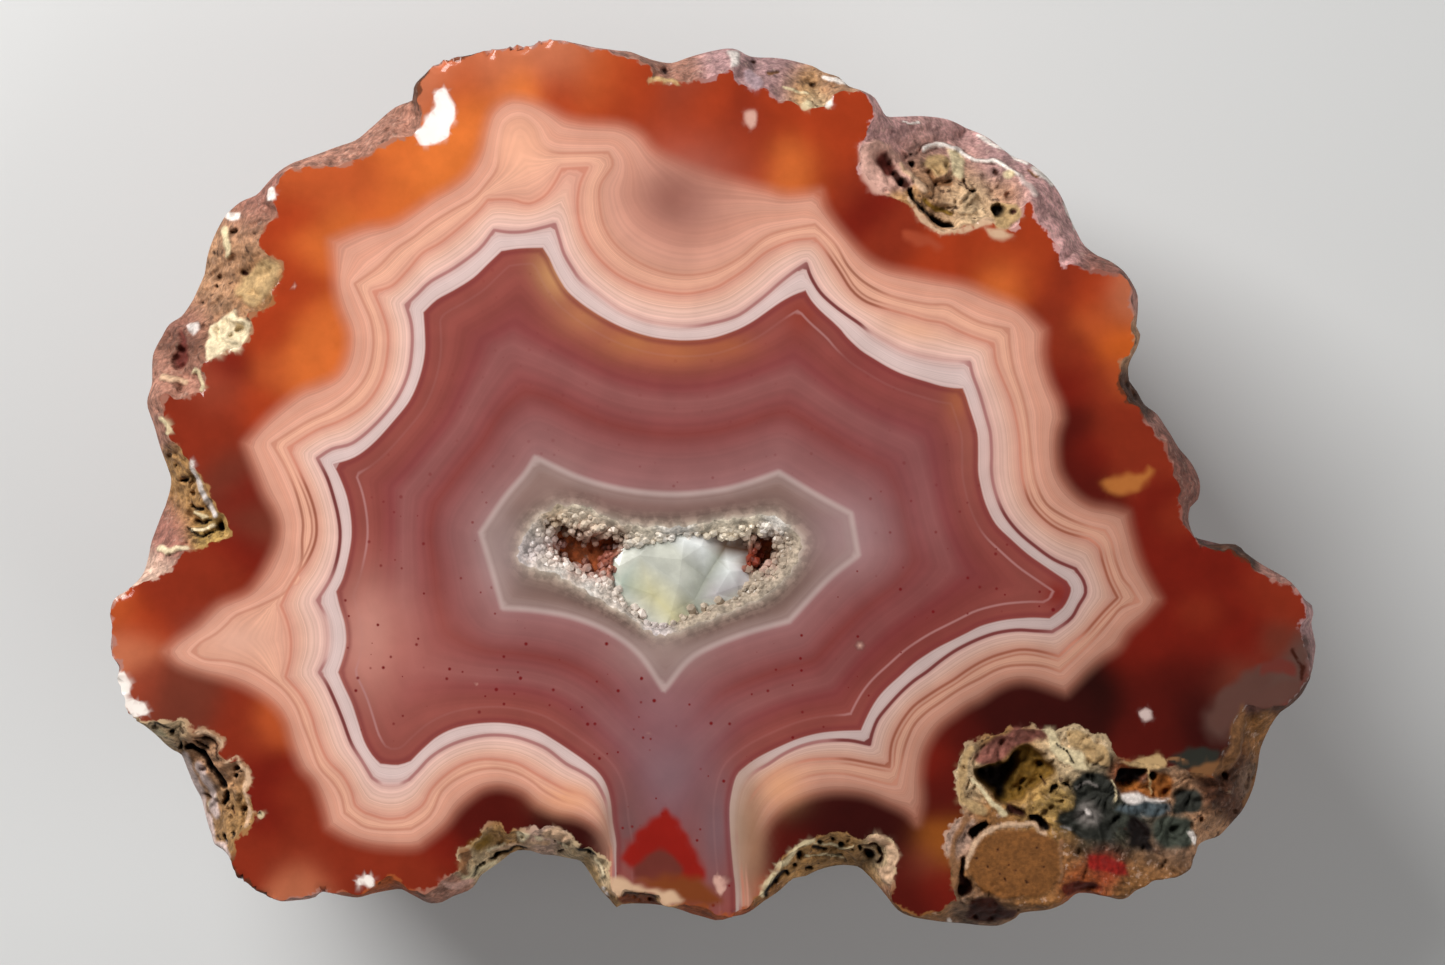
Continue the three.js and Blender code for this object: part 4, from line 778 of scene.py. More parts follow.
# Ridges, grooves and streaks: colour, half width, how far they stand out, and path.
STREAKS = [
    ("sand", 0.3, 0.5, [
        (19.3, -19.8), (18.9, -20.5), (18.7, -21.6), (18.6, -22.6), (18.7, -23.6), (19.4, -24.2),
        (20.4, -24.4),
    ]),
    ("cream", 0.2, 0.4, [(19.3, -22.2), (20.3, -23.2), (21, -24), (21.8, -24.6)]),
    ("clay", 0.3, 0.4, [(19, -25), (18.4, -26), (18, -27), (18.1, -28.5), (18.2, -30)]),
    ("beige", 0.2, 0.3, [
        (19.1, -28.6), (19.4, -26.9), (20.4, -26), (22, -25.5), (23.6, -25.3), (25, -26.2),
    ]),
    ("clay", 0.15, 0.2, [(26.1, -26.9), (26.2, -28.4), (25.9, -29.6)]),
    ("black", 0.08, -0.5, [(25.8, -19.4), (26.6, -20.1), (26.9, -21)]),
    ("black", 0.1, -0.6, [(25.2, -22.8), (25.5, -22.5), (26, -22.5)]),
    ("black", 0.08, -0.6, [(26.4, -22.4), (26.9, -22.9)]),
    ("umber", 0.1, -0.6, [(24.6, -21.9), (24.8, -22.5)]),
    ("grey", 0.1, 0.1, [(27.3, -22.9), (28, -22.4), (28.8, -22.6)]),
    ("cream", 0.08, 0.2, [(30, -22.1), (30.3, -22.6), (30.2, -23.6)]),
    ("sand", 0.1, 0.3, [(32.6, -21.4), (32.8, -22.4), (32.9, -23)]),
    ("clay", 0.12, 0.1, [(34.2, -20.5), (35.4, -20.6)]),
    ("grey", 0.1, 0.1, [(26, -25.6), (26.8, -25.9)]),
    ("brown", 0.5, 0.5, [
        (39.8, -17), (39.3, -18.4), (39.2, -19.6), (38.6, -21), (37.2, -21.3), (36.2, -21.5),
    ]),
    ("brown", 0.25, 0.2, [(41.3, -20.8), (41.6, -22), (41.2, -23), (40.7, -24.4)]),
    ("white", 0.25, 0.2, [(35.9, -26.2), (36.1, -26.8)]),
    ("umber", 0.15, -0.2, [(43.4, -12.4), (44.3, -13.6), (44.2, -14.4)]),
    ("umber", 0.3, -0.7, [(13.8, 23.3), (14.5, 22.5)]),
    ("black", 0.17, -1.3, [
        (14.8, 22.1), (15, 21.5), (15.4, 20.9), (16, 20.3), (16.6, 19.9), (17.3, 19.6), (17.9, 19.5),
    ]),
    ("beige", 0.2, 0.5, [
        (14.6, 21.6), (15, 20.7), (15.7, 19.9), (16.6, 19.2), (17.4, 19), (18.6, 19.1), (19.8, 19.4),
        (20.6, 19.9),
    ]),
    ("beige", 0.22, 0.4, [(14.2, 24.2), (14.8, 23.4), (15.3, 22.6), (15.8, 22)]),
    ("ochre", 0.2, -0.4, [(15.9, 21.4), (16.8, 20.8), (17.8, 20.6)]),
    ("clay", 0.25, -0.5, [(16.3, 23.6), (17, 23), (17.7, 22.9)]),
    ("umber", 0.13, -0.7, [(19, 23.1), (19.3, 22.5), (19.7, 22.2)]),
    ("white", 0.2, 0.6, [
        (16, 25.6), (17, 26), (18, 25.9), (19.2, 25.4), (20.2, 24.8), (21.2, 24.7), (22.2, 24.2),
        (22.8, 23.5),
    ]),
    ("white", 0.12, 0.1, [(14.4, 27.6), (15, 27.4), (15.8, 27.8)]),
    ("white", 0.15, 0.2, [(20.5, 27), (21.8, 25.9), (22.6, 25.4), (24, 24.6)]),
    ("white", 0.25, 0.2, [(24.6, 24.2), (25.1, 23.5), (25.7, 23)]),
    ("white", 0.12, 0.1, [(26.6, 21.4), (27, 20.6), (27.5, 19.4)]),
    ("rosy", 0.3, 0.2, [(23.2, 23.3), (23.8, 22.6), (24.1, 21.8)]),
    ("clay", 0.15, -0.3, [(24.1, 23.9), (24.7, 23.5)]),
    ("black", 0.1, -0.5, [(-42.3, -18.1), (-41.9, -17.9), (-41, -18.1)]),
    ("black", 0.12, -1, [(-40.4, -19.2), (-40.6, -19.9)]),
    ("black", 0.22, -1.5, [
        (-40, -19.8), (-39.6, -19.75), (-39.1, -19.9), (-38.3, -20.6), (-37.5, -21.7), (-37, -22.6),
    ]),
    ("black", 0.14, -1, [(-36.8, -23.1), (-36.85, -24)]),
    ("umber", 0.1, -0.6, [(-38.9, -19), (-38.2, -18.9), (-37.4, -19.4), (-37.1, -20.5)]),
    ("umber", 0.08, -0.5, [(-39, -19.3), (-38.3, -19.6), (-37.9, -20)]),
    ("beige", 0.2, 0.4, [(-38.7, -18.5), (-38.1, -18.4), (-37, -19.1), (-36.9, -19.6)]),
    ("beige", 0.15, 0.3, [
        (-36.6, -20.8), (-35.8, -20.6), (-34.9, -21.6), (-35, -23), (-34.8, -24.6), (-35.1, -25.6),
    ]),
    ("rosy", 0.35, 0.1, [(-40.2, -20.6), (-39.6, -22.6), (-38.8, -25), (-38, -27.2), (-36.6, -27.8)]),
    ("black", 0.14, -1, [(-37, -26.5), (-36.8, -27.1)]),
    ("umber", 0.08, -0.5, [(-36.2, -24.3), (-36.1, -24.8)]),
    ("cream", 0.2, 0.3, [(-38.3, -24.2), (-37.8, -23.6)]),
    ("rosy", 0.4, 0.2, [(-38.9, -21.4), (-38.2, -23), (-37.8, -25)]),
    ("cream", 0.2, 0.3, [(-39, 8.6), (-38.5, 8.4), (-38.3, 7.6), (-38.4, 7.1)]),
    ("beige", 0.25, 0.3, [(-41.8, 8), (-40.8, 7.9), (-39.6, 7.9)]),
    ("cream", 0.3, 0.3, [(-37.2, 19.4), (-36.8, 17.4)]),
    ("white", 0.3, 0.2, [(-37.2, 20.8), (-36.2, 20.4)]),
    ("white", 0.2, 0.2, [(-33.2, 22.1), (-33.1, 21.6)]),
    ("cream", 0.2, 0.2, [(-41.5, 5), (-40.9, 4.3), (-41, 3.9)]),
    ("black", 0.13, -0.8, [(-40.1, 0.4), (-39.8, 0.35)]),
    ("black", 0.13, -0.9, [(-39.4, -1.6), (-38.9, -1.85), (-38.5, -1.8)]),
    ("black", 0.1, -0.7, [(-39, -2.7), (-38.3, -2.8), (-37.8, -2.6)]),
    ("black", 0.12, -0.7, [(-39.5, -3.3), (-39, -3.7), (-38.4, -3.9), (-37.7, -3.6)]),
    ("cream", 0.15, 0.3, [(-39.2, -2.2), (-38.2, -2.4)]),
    ("ivory", 0.15, 0.3, [(-39.2, -3.3), (-38.2, -3.3), (-37.6, -3.1)]),
    ("pearl", 0.22, 0.1, [(-39.2, 1.6), (-38.6, 0.2), (-38, -1), (-37.5, -2.2)]),
    ("ivory", 0.22, 0.4, [(-42, -4.8), (-41, -4.9), (-39.4, -4.8)]),
    ("ivory", 0.12, 0.2, [(-11.8, -26.9), (-11.3, -27.2), (-11, -27.5)]),
    ("beige", 0.2, 0.3, [(-16.6, -27.5), (-15.6, -27.2), (-14, -27.1), (-12.6, -27)]),
    ("cream", 0.25, 0.3, [(-18.9, -29.6), (-18, -29.2), (-16.8, -28.6)]),
    ("ivory", 0.14, 0.3, [(-16.9, -27.7), (-16.4, -27.2), (-15.9, -26.9)]),
    ("blush", 0.3, 0.2, [(-20, -30), (-19.2, -30.2), (-18.4, -29.9)]),
    ("clay", 0.35, 0.1, [(-18.6, -27.4), (-18.9, -28.4), (-18.8, -29)]),
    ("black", 0.13, -0.8, [(-17, -28.3), (-16.2, -27.9), (-15.4, -27.6), (-14.2, -27.3)]),
    ("black", 0.1, -0.7, [(-18.2, -29.4), (-17.4, -28.6)]),
    ("black", 0.17, -0.9, [(-10, -27.4), (-9.5, -27.5), (-9, -27.8)]),
    ("umber", 0.1, -0.5, [(-11.7, -27.8), (-11.3, -27.8)]),
    ("ivory", 0.16, 0.3, [(-8.9, -28.2), (-8.6, -28.4), (-8.3, -29.4)]),
    ("sand", 0.3, 0.2, [(-9.6, -28.4), (-9.2, -29), (-8.4, -30.6)]),
    ("cream", 0.22, 0.4, [
        (3.7, -30.8), (4.1, -29.8), (4.8, -28.8), (5.6, -27.9), (6.4, -27.2), (7.4, -26.7),
    ]),
    ("black", 0.2, -1.1, [(4, -30.9), (4.2, -30.2), (5.1, -29.2)]),
    ("black", 0.1, -0.7, [(8.9, -27.9), (9.7, -28)]),
    ("black", 0.12, -0.7, [(7.4, -27.3), (8, -27.4), (8.4, -27.4)]),
    ("cream", 0.1, 0.3, [(7.6, -27.1), (8.6, -27), (9.6, -27.4), (10.4, -27.3)]),
    ("cream", 0.1, 0.3, [(7, -28), (8.4, -27.8), (10, -28.3)]),
    ("umber", 0.1, -0.5, [(11.2, -27), (12.2, -27), (12.8, -27.8), (12.4, -28.4)]),
    # A white streak painted as a highlight along the rim near the top edge.
    ("white", 0.2, 0.1, [(8.4, 30.9), (9.2, 30.8), (9.9, 30.3)]),
    ("cream", 0.12, 0.2, [(5.4, 29.9), (6.4, 29.6), (7.2, 29.3)]),
    ("clay", 0.15, -0.3, [(4.2, 31), (4.9, 31.1)]),
    ("sand", 0.2, 0.2, [(-4.7, 30.4), (-3.9, 30.6), (-2.8, 30.2)]),
    ("umber", 0.12, -0.3, [(-6.7, -31), (-6.6, -30.6), (-5.4, -30.6), (-4.3, -30.9)]),
    ("haze", 0.9, 0, [(38, -17.6), (38.7, -16.2), (39.8, -15.2), (41, -14.4)]),
    ("haze", 0.7, 0, [(40.4, -16.6), (41.8, -15.6), (43.4, -15.2)]),
    ("earth", 0.5, 0, [(41.4, -13.8), (42.6, -13.4), (43.4, -13.8)]),
]

# Round pits and spots: colour, radius, how far they stand out, and places.
SPOTS = [
    ("black", 0.1, -0.5, [
        (14.9, 25.1), (-38.2, 17.8), (-37.8, 15.1), (-39.1, 13.9), (-35.5, -21.3), (-35.3, -21.6),
        (-35.3, -24.7), (-35.5, -25.7), (-40.6, 1.5), (-12, -26.8), (-11.6, -27), (-7.9, -31.2),
        (10.4, -27.6), (22.9, -32.1),
    ]),
    ("black", 0.2, -0.9, [
        (15.05, 24.4), (-36.1, -26.1), (-40.8, -18.45), (-35.9, -22), (8.9, -26.6), (7.9, -26.9),
        (9.6, -27.1), (6.1, -28.6), (7.2, -29.1), (5.4, -29.3), (11, -27.3),
    ]),
    ("black", 0.28, -1.1, [(6.5, -27.8), (33, -21.9), (-37.1, -3.1), (11.8, -28)]),
    ("umber", 0.25, -0.4, [(-3.7, 31.4), (2.9, 32), (-35.4, 15.9), (21.5, 23.6), (22.4, 20.6)]),
    ("black", 0.42, -1.4, [(21.4, 20.6)]),
    ("umber", 0.1, -0.25, [
        (19.8, -28), (20.5, -28.7), (21.6, -29.2), (22, -29.6), (22.7, -28.9), (22.2, -28.4), (24.3, -27.2),
        (21.4, -27.3), (23.6, -29.8), (24.8, -28.6),
    ]),
    ("pearl", 0.22, 0.2, [
        (28.2, -24.6), (31.6, -23.6), (-8.3, -30.4), (-8, -30.8), (17.9, -33), (35.9, -26.3),
    ]),
    ("cream", 0.35, 0.3, [(22.3, 23.6), (7, 28.5), (-33.9, -24.7)]),
    ("black", 0.16, -0.4, [(-34.05, -24.5)]),
    ("blush", 0.08, 0, [(-17.7, -14.9), (-5, -18.6), (11, -12.1), (11.9, -9.3), (-31.4, 14.9), (-38, 6)]),
]

# The matrix and the rind, in the same way as the outer agate.
MATRIX_KINDS = {
    "cream": ("#ccb08a", 1), "ochre": ("#a87e4e", 1), "tan": ("#8c5e34", 0.08), "clay": ("#a67c5c", 1),
    "grey": ("#745a48", 0.9), "pink": ("#cc9c98", 0.3), "dusk": ("#8c5c50", 0.5),
    "mauve": ("#a88280", 0.35), "moss": ("#2c2e24", 0.75), "slate": ("#42463e", 0.75),
    "rust": ("#a05028", 0.9), "white": ("#cca894", 0.7), "yellow": ("#ac8a4e", 1), "umber": ("#4c2c1c", 1),
    "rosy": ("#a0705e", 0.55), "fire": ("#9a3a20", 0.25),
}
MATRIX_SPOTS = {
    "cream": [
        (19, 21.4, 1.6), (19, -22, 1.2), (27, -20, 1.8), (-41.5, -18.8, 1.2), (7.6, 28.8, 0.8),
        (12.4, -27.4, 1), (-17.6, -28.4, 1), (-9, -28.6, 1), (-10.6, -27.6, 1),
    ],
    "ochre": [
        (15, 21.6, 1.2), (23, -21.8, 1.8), (-37, -25, 1.8), (-39, -1, 1.8), (6.6, 30, 1.2), (7, -28.6, 1.8),
        (10, -28, 1.4), (-15, -27, 1), (-5.4, -31.2, 1.2),
    ],
    "tan": [
        (22.6, -28.4, 3.2), (32.5, -29.4, 1.8), (41.2, -19, 1.2), (16, -32.6, 1.4), (24.6, -31.8, 1.4),
        (-34.4, 15.2, 1.4), (4.4, -30.6, 1),
    ],
    "clay": [
        (17, 23, 3), (22.2, 22, 1.2), (34.4, -24, 1.4), (37, -26, 1.2), (-39, -22, 2.2), (-38, 14.6, 2.4),
        (-36, 18, 2.4), (9, 30.2, 1.2), (31.8, 10, 1),
    ],
    "grey": [(33.5, -27, 1.6), (40.6, -22.6, 1), (20, -32.4, 2), (-38.4, -24.6, 1.6)],
    "pink": [(12, 24.2, 1.4), (13.5, 26.6, 2), (18, 26.8, 2), (25, 21.8, 2), (26.6, 18.6, 1.6)],
    "dusk": [
        (29, 16.8, 1.2), (-41.6, -3.4, 1.6), (-35, 21, 2), (-40, 12.4, 1.6), (35.4, 1.8, 1.2),
        (36.2, -1, 1.2),
    ],
    "mauve": [(22, 25, 2), (44.8, -12, 1.5), (1, 32, 1.6), (4.6, 30.6, 1.6)],
    "moss": [(29.3, -23, 2), (30, -26.4, 2)],
    "slate": [(32, -24.6, 1.8)],
    "rust": [(31, -21.9, 1), (27.6, -30.3, 1.2), (-25, -30.6, 1.2), (0.5, -32.4, 1.4)],
    "white": [(18.4, -26.5, 1), (-42.4, -6.6, 1.2), (-12.8, -26.6, 1.2)],
    "yellow": [(25, -24, 1.6), (-38, -3.2, 1)],
    "umber": [
        (38.6, -20, 1.6), (38.6, -23.2, 1.6), (44.4, -16, 1.4), (-40.3, 10.6, 1.4), (-21.6, 31.2, 1.6),
        (31.7, 7.4, 1), (39, -4.6, 1), (-35.6, -29.6, 1.2),
    ],
    "rosy": [(-41.2, 8, 2), (-29.6, 24.7, 1.6), (-25, 27.2, 1.6), (-3, 31.4, 1.6), (-20, -30.8, 1)],
    "fire": [(29.6, -28.5, 1)],
}


def linear(paint):
    """A colour such as "#c85a26" as linear red, green and blue."""
    channels = [int(paint[i:i + 2], 16) / 255 for i in (1, 3, 5)]
    return np.array([c / 12.92 if c <= 0.04045 else ((c + 0.055) / 1.055) ** 2.4 for c in channels])


def fade(low, high, value):
    """0 below low and 1 above high, with a smooth change between them."""
    share = np.clip((value - low) / (high - low), 0, 1)
    return share * share * (3 - 2 * share)


def smooth_run(points, step):
    """Points about a step apart on a smooth curve through one run, without its last point."""
    path = np.array(points, float)
    padded = np.vstack([2 * path[0] - path[1], path, 2 * path[-1] - path[-2]])
    return np.vstack([
        curve_piece(padded[i:i + 4], step) for i in range(len(path) - 1)
    ])


def curve_piece(four, step):
    """Points from the second of four places towards the third, on a Catmull-Rom curve."""
    before, start, end, after = four
    count = max(1, round(math.dist(start, end) / step))
    t = np.arange(count)[:, None] / count
    bend = 2 * before - 5 * start + 4 * end - after
    twist = 3 * start - before - 3 * end + after
    return 0.5 * (2 * start + (end - before) * t + bend * t ** 2 + twist * t ** 3)


def rounded(points, step):
    """A smooth closed curve through all the points."""
    path = np.array(points, float)
    padded = np.vstack([path[-1:], path, path[:2]])
    return np.vstack([curve_piece(padded[i:i + 4], step) for i in range(len(path))])


def fortified(runs, step):
    """A closed curve of smooth runs, each from its own corner to the next run's."""
    following = runs[1:] + runs[:1]
    return np.vstack([smooth_run(run + after[:1], step) for run, after in zip(runs, following)])


def inside(loop, points):
    """Which of the points lie inside a closed loop."""
    x, y = points[:, 0], points[:, 1]
    result = np.zeros(len(points), bool)
    for (x0, y0), (x1, y1) in zip(loop, np.roll(loop, -1, 0)):
        if y0 != y1:
            crosses = (y0 > y) != (y1 > y)
            result ^= crosses & (x < (x1 - x0) * (y - y0) / (y1 - y0) + x0)
    return result


def path_distance(path, points):
    """How far each point is from an open path."""
    path = np.array(path, float)
    nearest = np.full(len(points), np.inf)
    for start, end in zip(path, path[1:]):
        span = end - start
        away = points - start
        t = np.clip(away @ span / (span @ span), 0, 1)
        np.minimum(nearest, ((away - t[:, None] * span) ** 2).sum(1), out=nearest)
    return np.sqrt(nearest)


def loop_distance(loop, points):
    """How far each point is from a closed loop, negative inside it."""
    away = path_distance(np.vstack([loop, loop[:1]]), points)
    return np.where(inside(loop, points), -away, away)


def rough_noise(points, size, octaves):
    """Fractal noise, about -1 to 1, with lumps of the given size."""
    return np.array([noise.fractal(Vector(p) / size, 1.0, 2.0, octaves) for p in points])


def cell_gaps(points, size):
    """0 in the middle of each cell of a random pattern and larger towards its border."""
    return np.array([noise.voronoi(Vector(p) / size)[0][0] for p in points])


def rounded_lumps(points, size):
    """Rounded lumps with sharp creases between them, 1 at the top of each."""
    return 1 - 1.5 * cell_gaps(points, size) ** 2


def warped(points, size, reach):
    """The points moved about by slow noise, so that patterns on them run irregularly."""
    offsets = np.array([noise.noise_vector(Vector(p) / size) for p in points])
    return points + reach * offsets


def with_height(plan, height=0.0):
    """Plan points with a third coordinate."""
    return np.column_stack([plan, np.broadcast_to(height, len(plan))])


def crumbled(loop, size, reach):
    """The loop with each point pushed in or out a little, in lumps of the given size."""
    along = np.roll(loop, -1, 0) - np.roll(loop, 1, 0)
    side = np.column_stack([along[:, 1], -along[:, 0]]) / np.hypot(along[:, 0], along[:, 1])[:, None]
    return loop + side * (reach * rough_noise(with_height(loop), size, 2))[:, None]


class Outlines:
    """The stone's outlines as fine polylines, each running anticlockwise."""

    def __init__(self):
        self.skin = rounded(SILHOUETTE, EDGE_STEP)[::-1]
        self.face = crumbled(rounded(FACE_EDGE, CRUMB_STEP)[::-1], *FACE_CRUMBS)
        self.druse = crumbled(rounded(DRUSE_EDGE, CRUMB_STEP)[::-1], *DRUSE_CRUMBS)
        self.group = crumbled(rounded(MATRIX_GROUP, CRUMB_STEP)[::-1], *GROUP_CRUMBS)
        self.quartz = fortified(QUARTZ_LINE, LINE_STEP)[::-1]
        self.bands = [
            fortified(runs, LINE_STEP)[::-1]
            for runs in (WHITE_INNER, WHITE_OUTER, INNER_LINE, OUTER_LINE, BANDS_END)
        ]


def even_points(step):
    """Plan points in an even triangular pattern over the whole stone."""
    across, along = PLAN_REACH
    xs = np.arange(-across, across, step)
    ys = np.arange(-along, along, step * math.sqrt(3) / 2)
    x, y = np.meshgrid(xs, ys)
    x[1::2] += step / 2
    return np.column_stack([x.ravel(), y.ravel()])


def is_rough(outlines, points):
    """Which points lie where the stone isn't polished."""
    return (
        ~inside(outlines.face, points)
        | inside(outlines.group, points)
        | inside(outlines.druse, points)
    )


def has_detail(outlines, points):
    """Which points need a fine mesh: the rough parts and the edges of the crisp details."""
    fine = is_rough(outlines, points)
    for _, _, chosen, amount in details(points):
        fine[chosen] |= (amount > 0) & (amount < 1)
    return fine


def plan_mesh(outlines):
    """The top in plan: its points, its triangles and which points make the silhouette."""
    skin = outlines.skin
    points = [skin]
    edges = [(i, (i + 1) % len(skin)) for i in range(len(skin))]
    count = len(skin)
    for loop in [outlines.face, outlines.druse, outlines.group, outlines.quartz] + outlines.bands:
        kept = loop_distance(skin, loop) < -EDGE_STEP / 2
        number = np.cumsum(kept) - 1 + count
        following = np.roll(np.arange(len(loop)), -1)
        edges += [(int(number[i]), int(number[j])) for i, j in enumerate(following) if kept[i] and kept[j]]
        points.append(loop[kept])
        count += int(kept.sum())
    points = np.vstack(points)
    points = np.vstack([points, filling(outlines, points)])
    corners = [Vector(p) for p in points]
    placed, _, faces, origins, _, _ = delaunay_2d_cdt(corners, edges, [], 1, MERGE_DISTANCE)
    order = {source: i for i, sources in enumerate(origins) for source in sources}
    return np.array([tuple(p) for p in placed]), faces, [order[i] for i in range(len(skin))]


def filling(outlines, fixed):
    """Points that fill the top evenly, closer together where the stone is rough."""
    tree = kdtree.KDTree(len(fixed))
    for i, (x, y) in enumerate(fixed):
        tree.insert((x, y, 0), i)
    tree.balance()
    parts = []
    for step, wants_detail in ((COARSE_STEP, False), (FINE_STEP, True)):
        points = even_points(step)
        points = points[inside(outlines.skin, points)]
        points = points[has_detail(outlines, points) == wants_detail]
        clear = [tree.find((x, y, 0))[2] > CLEARANCE * step for x, y in points]
        parts.append(points[clear])
    return np.vstack(parts)


class Top:
    """The points of the top, with their distances from the outlines and their heights."""

    def __init__(self, outlines, points):
        self.points = points
        self.skin = loop_distance(outlines.skin, points)
        self.face = loop_distance(outlines.face, points)
        self.group = loop_distance(outlines.group, points)
        self.druse = loop_distance(outlines.druse, points)
        self.quartz = loop_distance(outlines.quartz, points)
        self.bands = [loop_distance(loop, points) for loop in outlines.bands]
        self.slope = self.rim_drop()
        self.height = self.heights()

    def band(self):
        """-1 at the druse, 0 at the quartz line, then 1 more at each outline outwards."""
        edges = [self.druse, self.quartz] + self.bands + [self.skin]
        value = np.full(len(self.points), -1.0)
        for i, (near, far) in enumerate(zip(edges, edges[1:])):
            share = np.abs(near) / np.maximum(np.abs(near) + np.abs(far), TINY)
            value = np.where(near > 0, i - 1 + share, value)
        return value

    def rim_drop(self):
        """How far the rim has fallen away at each point."""
        rim = np.maximum(self.face, 0)
        width = rim + np.abs(self.skin)
        return (SKIN_DROP + SKIN_SLOPE * width) * (rim / np.maximum(width, TINY)) ** RIM_POWER

    def heights(self):
        """The height of the top at each point."""
        drop = self.slope + self.matrix_relief()
        hollow = np.maximum(-self.druse, 0)
        lining = crust_depth(self.points, -hollow) + CRUST_COVER * fade(0, COVER_REACH, hollow)
        return FACE - np.maximum(np.where(hollow > 0, lining, drop), 0)

    def matrix_relief(self):
        """How much the matrix lies under the face, or under the rim's slope."""
        into = np.maximum(np.maximum(self.face, -self.group), 0)
        into = np.minimum(into, np.abs(self.skin))
        rough = np.flatnonzero(into > 0)
        relief = np.zeros(len(self.points))
        plan = self.points[rough]
        spots = warped(with_height(plan), *MATRIX_WARP)
        lumps = LARGE_LUMPS[0] * rounded_lumps(spots, LARGE_LUMPS[1])
        lumps += SMALL_LUMPS[0] * rounded_lumps(spots + SMALL_LUMP_START, SMALL_LUMPS[1])
        cords = CORDS[0] * np.sin(CORD_BENDS * rough_noise(spots, CORDS[1], 1))
        holes = PORES[0] * fade(0.3, 0.1, cell_gaps(spots + PORE_START, PORES[1]))
        grit = GRIT[0] * rough_noise(spots, GRIT[1], 2)
        rise = lumpiness(plan, 0.6) * (lumps + cords - holes - MATRIX_SINK) + grit
        for _, height, chosen, amount in details(plan):
            rise[chosen] += height * amount
        relief[rough] = -rise * fade(0, MATRIX_MARGIN, into[rough]) + MATRIX_STEP
        return relief


def blended(points, spots, values, ground):
    """The values for each point, blended from those of the named places near it."""
    total = np.full((len(points), 1), GROUND_WEIGHT)
    result = total * ground
    for name, places in spots.items():
        for x, y, reach in places:
            weight = np.exp(-((points[:, 0] - x) ** 2 + (points[:, 1] - y) ** 2) / reach ** 2)[:, None]
            total = total + weight
            result = result + weight * values[name]
    return result / total


def coloured(points, spots, colours, ground):
    """A colour for each point, blended from the named places near it."""
    return blended(points, spots, {name: linear(paint) for name, paint in colours.items()}, linear(ground))


def lumpiness(points, elsewhere):
    """How lumpy the matrix is at each point, with the value for where no named place is near."""
    values = {name: lumpy for name, (_, lumpy) in MATRIX_KINDS.items()}
    return blended(points, MATRIX_SPOTS, values, [elsewhere])[:, 0]


def stained(points, stains):
    """Soft stains as colours with their strength in the fourth channel."""
    colour = np.zeros((len(points), 3))
    cover = np.zeros((len(points), 1))
    for x, y, wide, high, turn, paint, strength in stains:
        turned = math.radians(turn)
        across = (points[:, 0] - x) * math.cos(turned) + (points[:, 1] - y) * math.sin(turned)
        along = (points[:, 1] - y) * math.cos(turned) - (points[:, 0] - x) * math.sin(turned)
        amount = strength * np.exp(-(across / wide) ** 2 - (along / high) ** 2)[:, None]
        colour, cover = laid_over(colour, cover, linear(paint), amount)
    return np.hstack([colour, cover])


def laid_over(colour, cover, paint, amount):
    """One colour laid over another, both with their cover."""
    total = amount + cover * (1 - amount)
    mixed = (np.array(paint) * amount + colour * cover * (1 - amount)) / np.maximum(total, TINY)
    return mixed, total


def near(path, reach, points):
    """The numbers of the points within reach of a path's box."""
    low = np.min(path, 0) - reach
    high = np.max(path, 0) + reach
    return np.flatnonzero(((points > low) & (points < high)).all(1))


def details(points):
    """Each crisp detail: its colour, how far it stands out, the points near it and its share of each."""
    plan = warped(with_height(points), *DETAIL_WARP)[:, :2]
    for name, soft, rise, outline in SHAPES:
        chosen = near(outline, DETAIL_ROOM, plan)
        yield name, rise, chosen, fade(soft, -soft, loop_distance(rounded(outline, LINE_STEP), plan[chosen]))
    for name, half, rise, path in STREAKS:
        chosen = near(path, DETAIL_ROOM, plan)
        end, start = STREAK_EDGE
        yield name, rise, chosen, fade(half * end, half * start, path_distance(path, plan[chosen]))
    for name, radius, rise, places in SPOTS:
        for place in places:
            chosen = near([place], DETAIL_ROOM, plan)
            away = np.hypot(*(plan[chosen] - place).T)
            end, start = SPOT_EDGE
            yield name, rise, chosen, fade(radius * end, radius * start, away)


def patched(points):
    """The crisp details as colours with their cover in the fourth channel."""
    result = np.zeros((len(points), 4))
    for name, _, chosen, amount in details(points):
        under = result[chosen]
        colour, cover = laid_over(under[:, :3], under[:, 3:], linear(PAINTS[name]), amount[:, None])
        result[chosen] = np.hstack([colour, cover])
    return result


def line_strengths(points):
    """How strong each of the three fine lines is near each point, and how dark they are there."""
    strengths = np.ones((len(points), 4))
    for x, y, reach, line in FADES:
        away = np.hypot(points[:, 0] - x, points[:, 1] - y)
        strengths[:, line] *= fade(reach * 0.5, reach, away)
    for x, y, reach in DARK_STRETCHES:
        away = np.hypot(points[:, 0] - x, points[:, 1] - y)
        strengths[:, 3] *= fade(reach * 0.6, reach, away)
    strengths[:, 3] = 1 - strengths[:, 3]
    return strengths


def reaches(loop, angles):
    """How far the loop reaches from the middle at each angle."""
    starts, ends = loop, np.roll(loop, -1, 0)
    directions = np.column_stack([np.cos(angles), np.sin(angles)])[:, None]
    side_start = directions[..., 0] * starts[:, 1] - directions[..., 1] * starts[:, 0]
    side_end = directions[..., 0] * ends[:, 1] - directions[..., 1] * ends[:, 0]
    share = side_start / np.where(side_start == side_end, 1, side_start - side_end)
    cross = starts + (ends - starts) * share[..., None]
    along = (cross * directions).sum(-1)
    hit = (side_start * side_end <= 0) & (side_start != side_end)
    return np.where(hit, along, 0).max(1)


def step_share(number, step):
    """Spreads a count evenly and irregularly over 0 to 1."""
    return number * step % 1


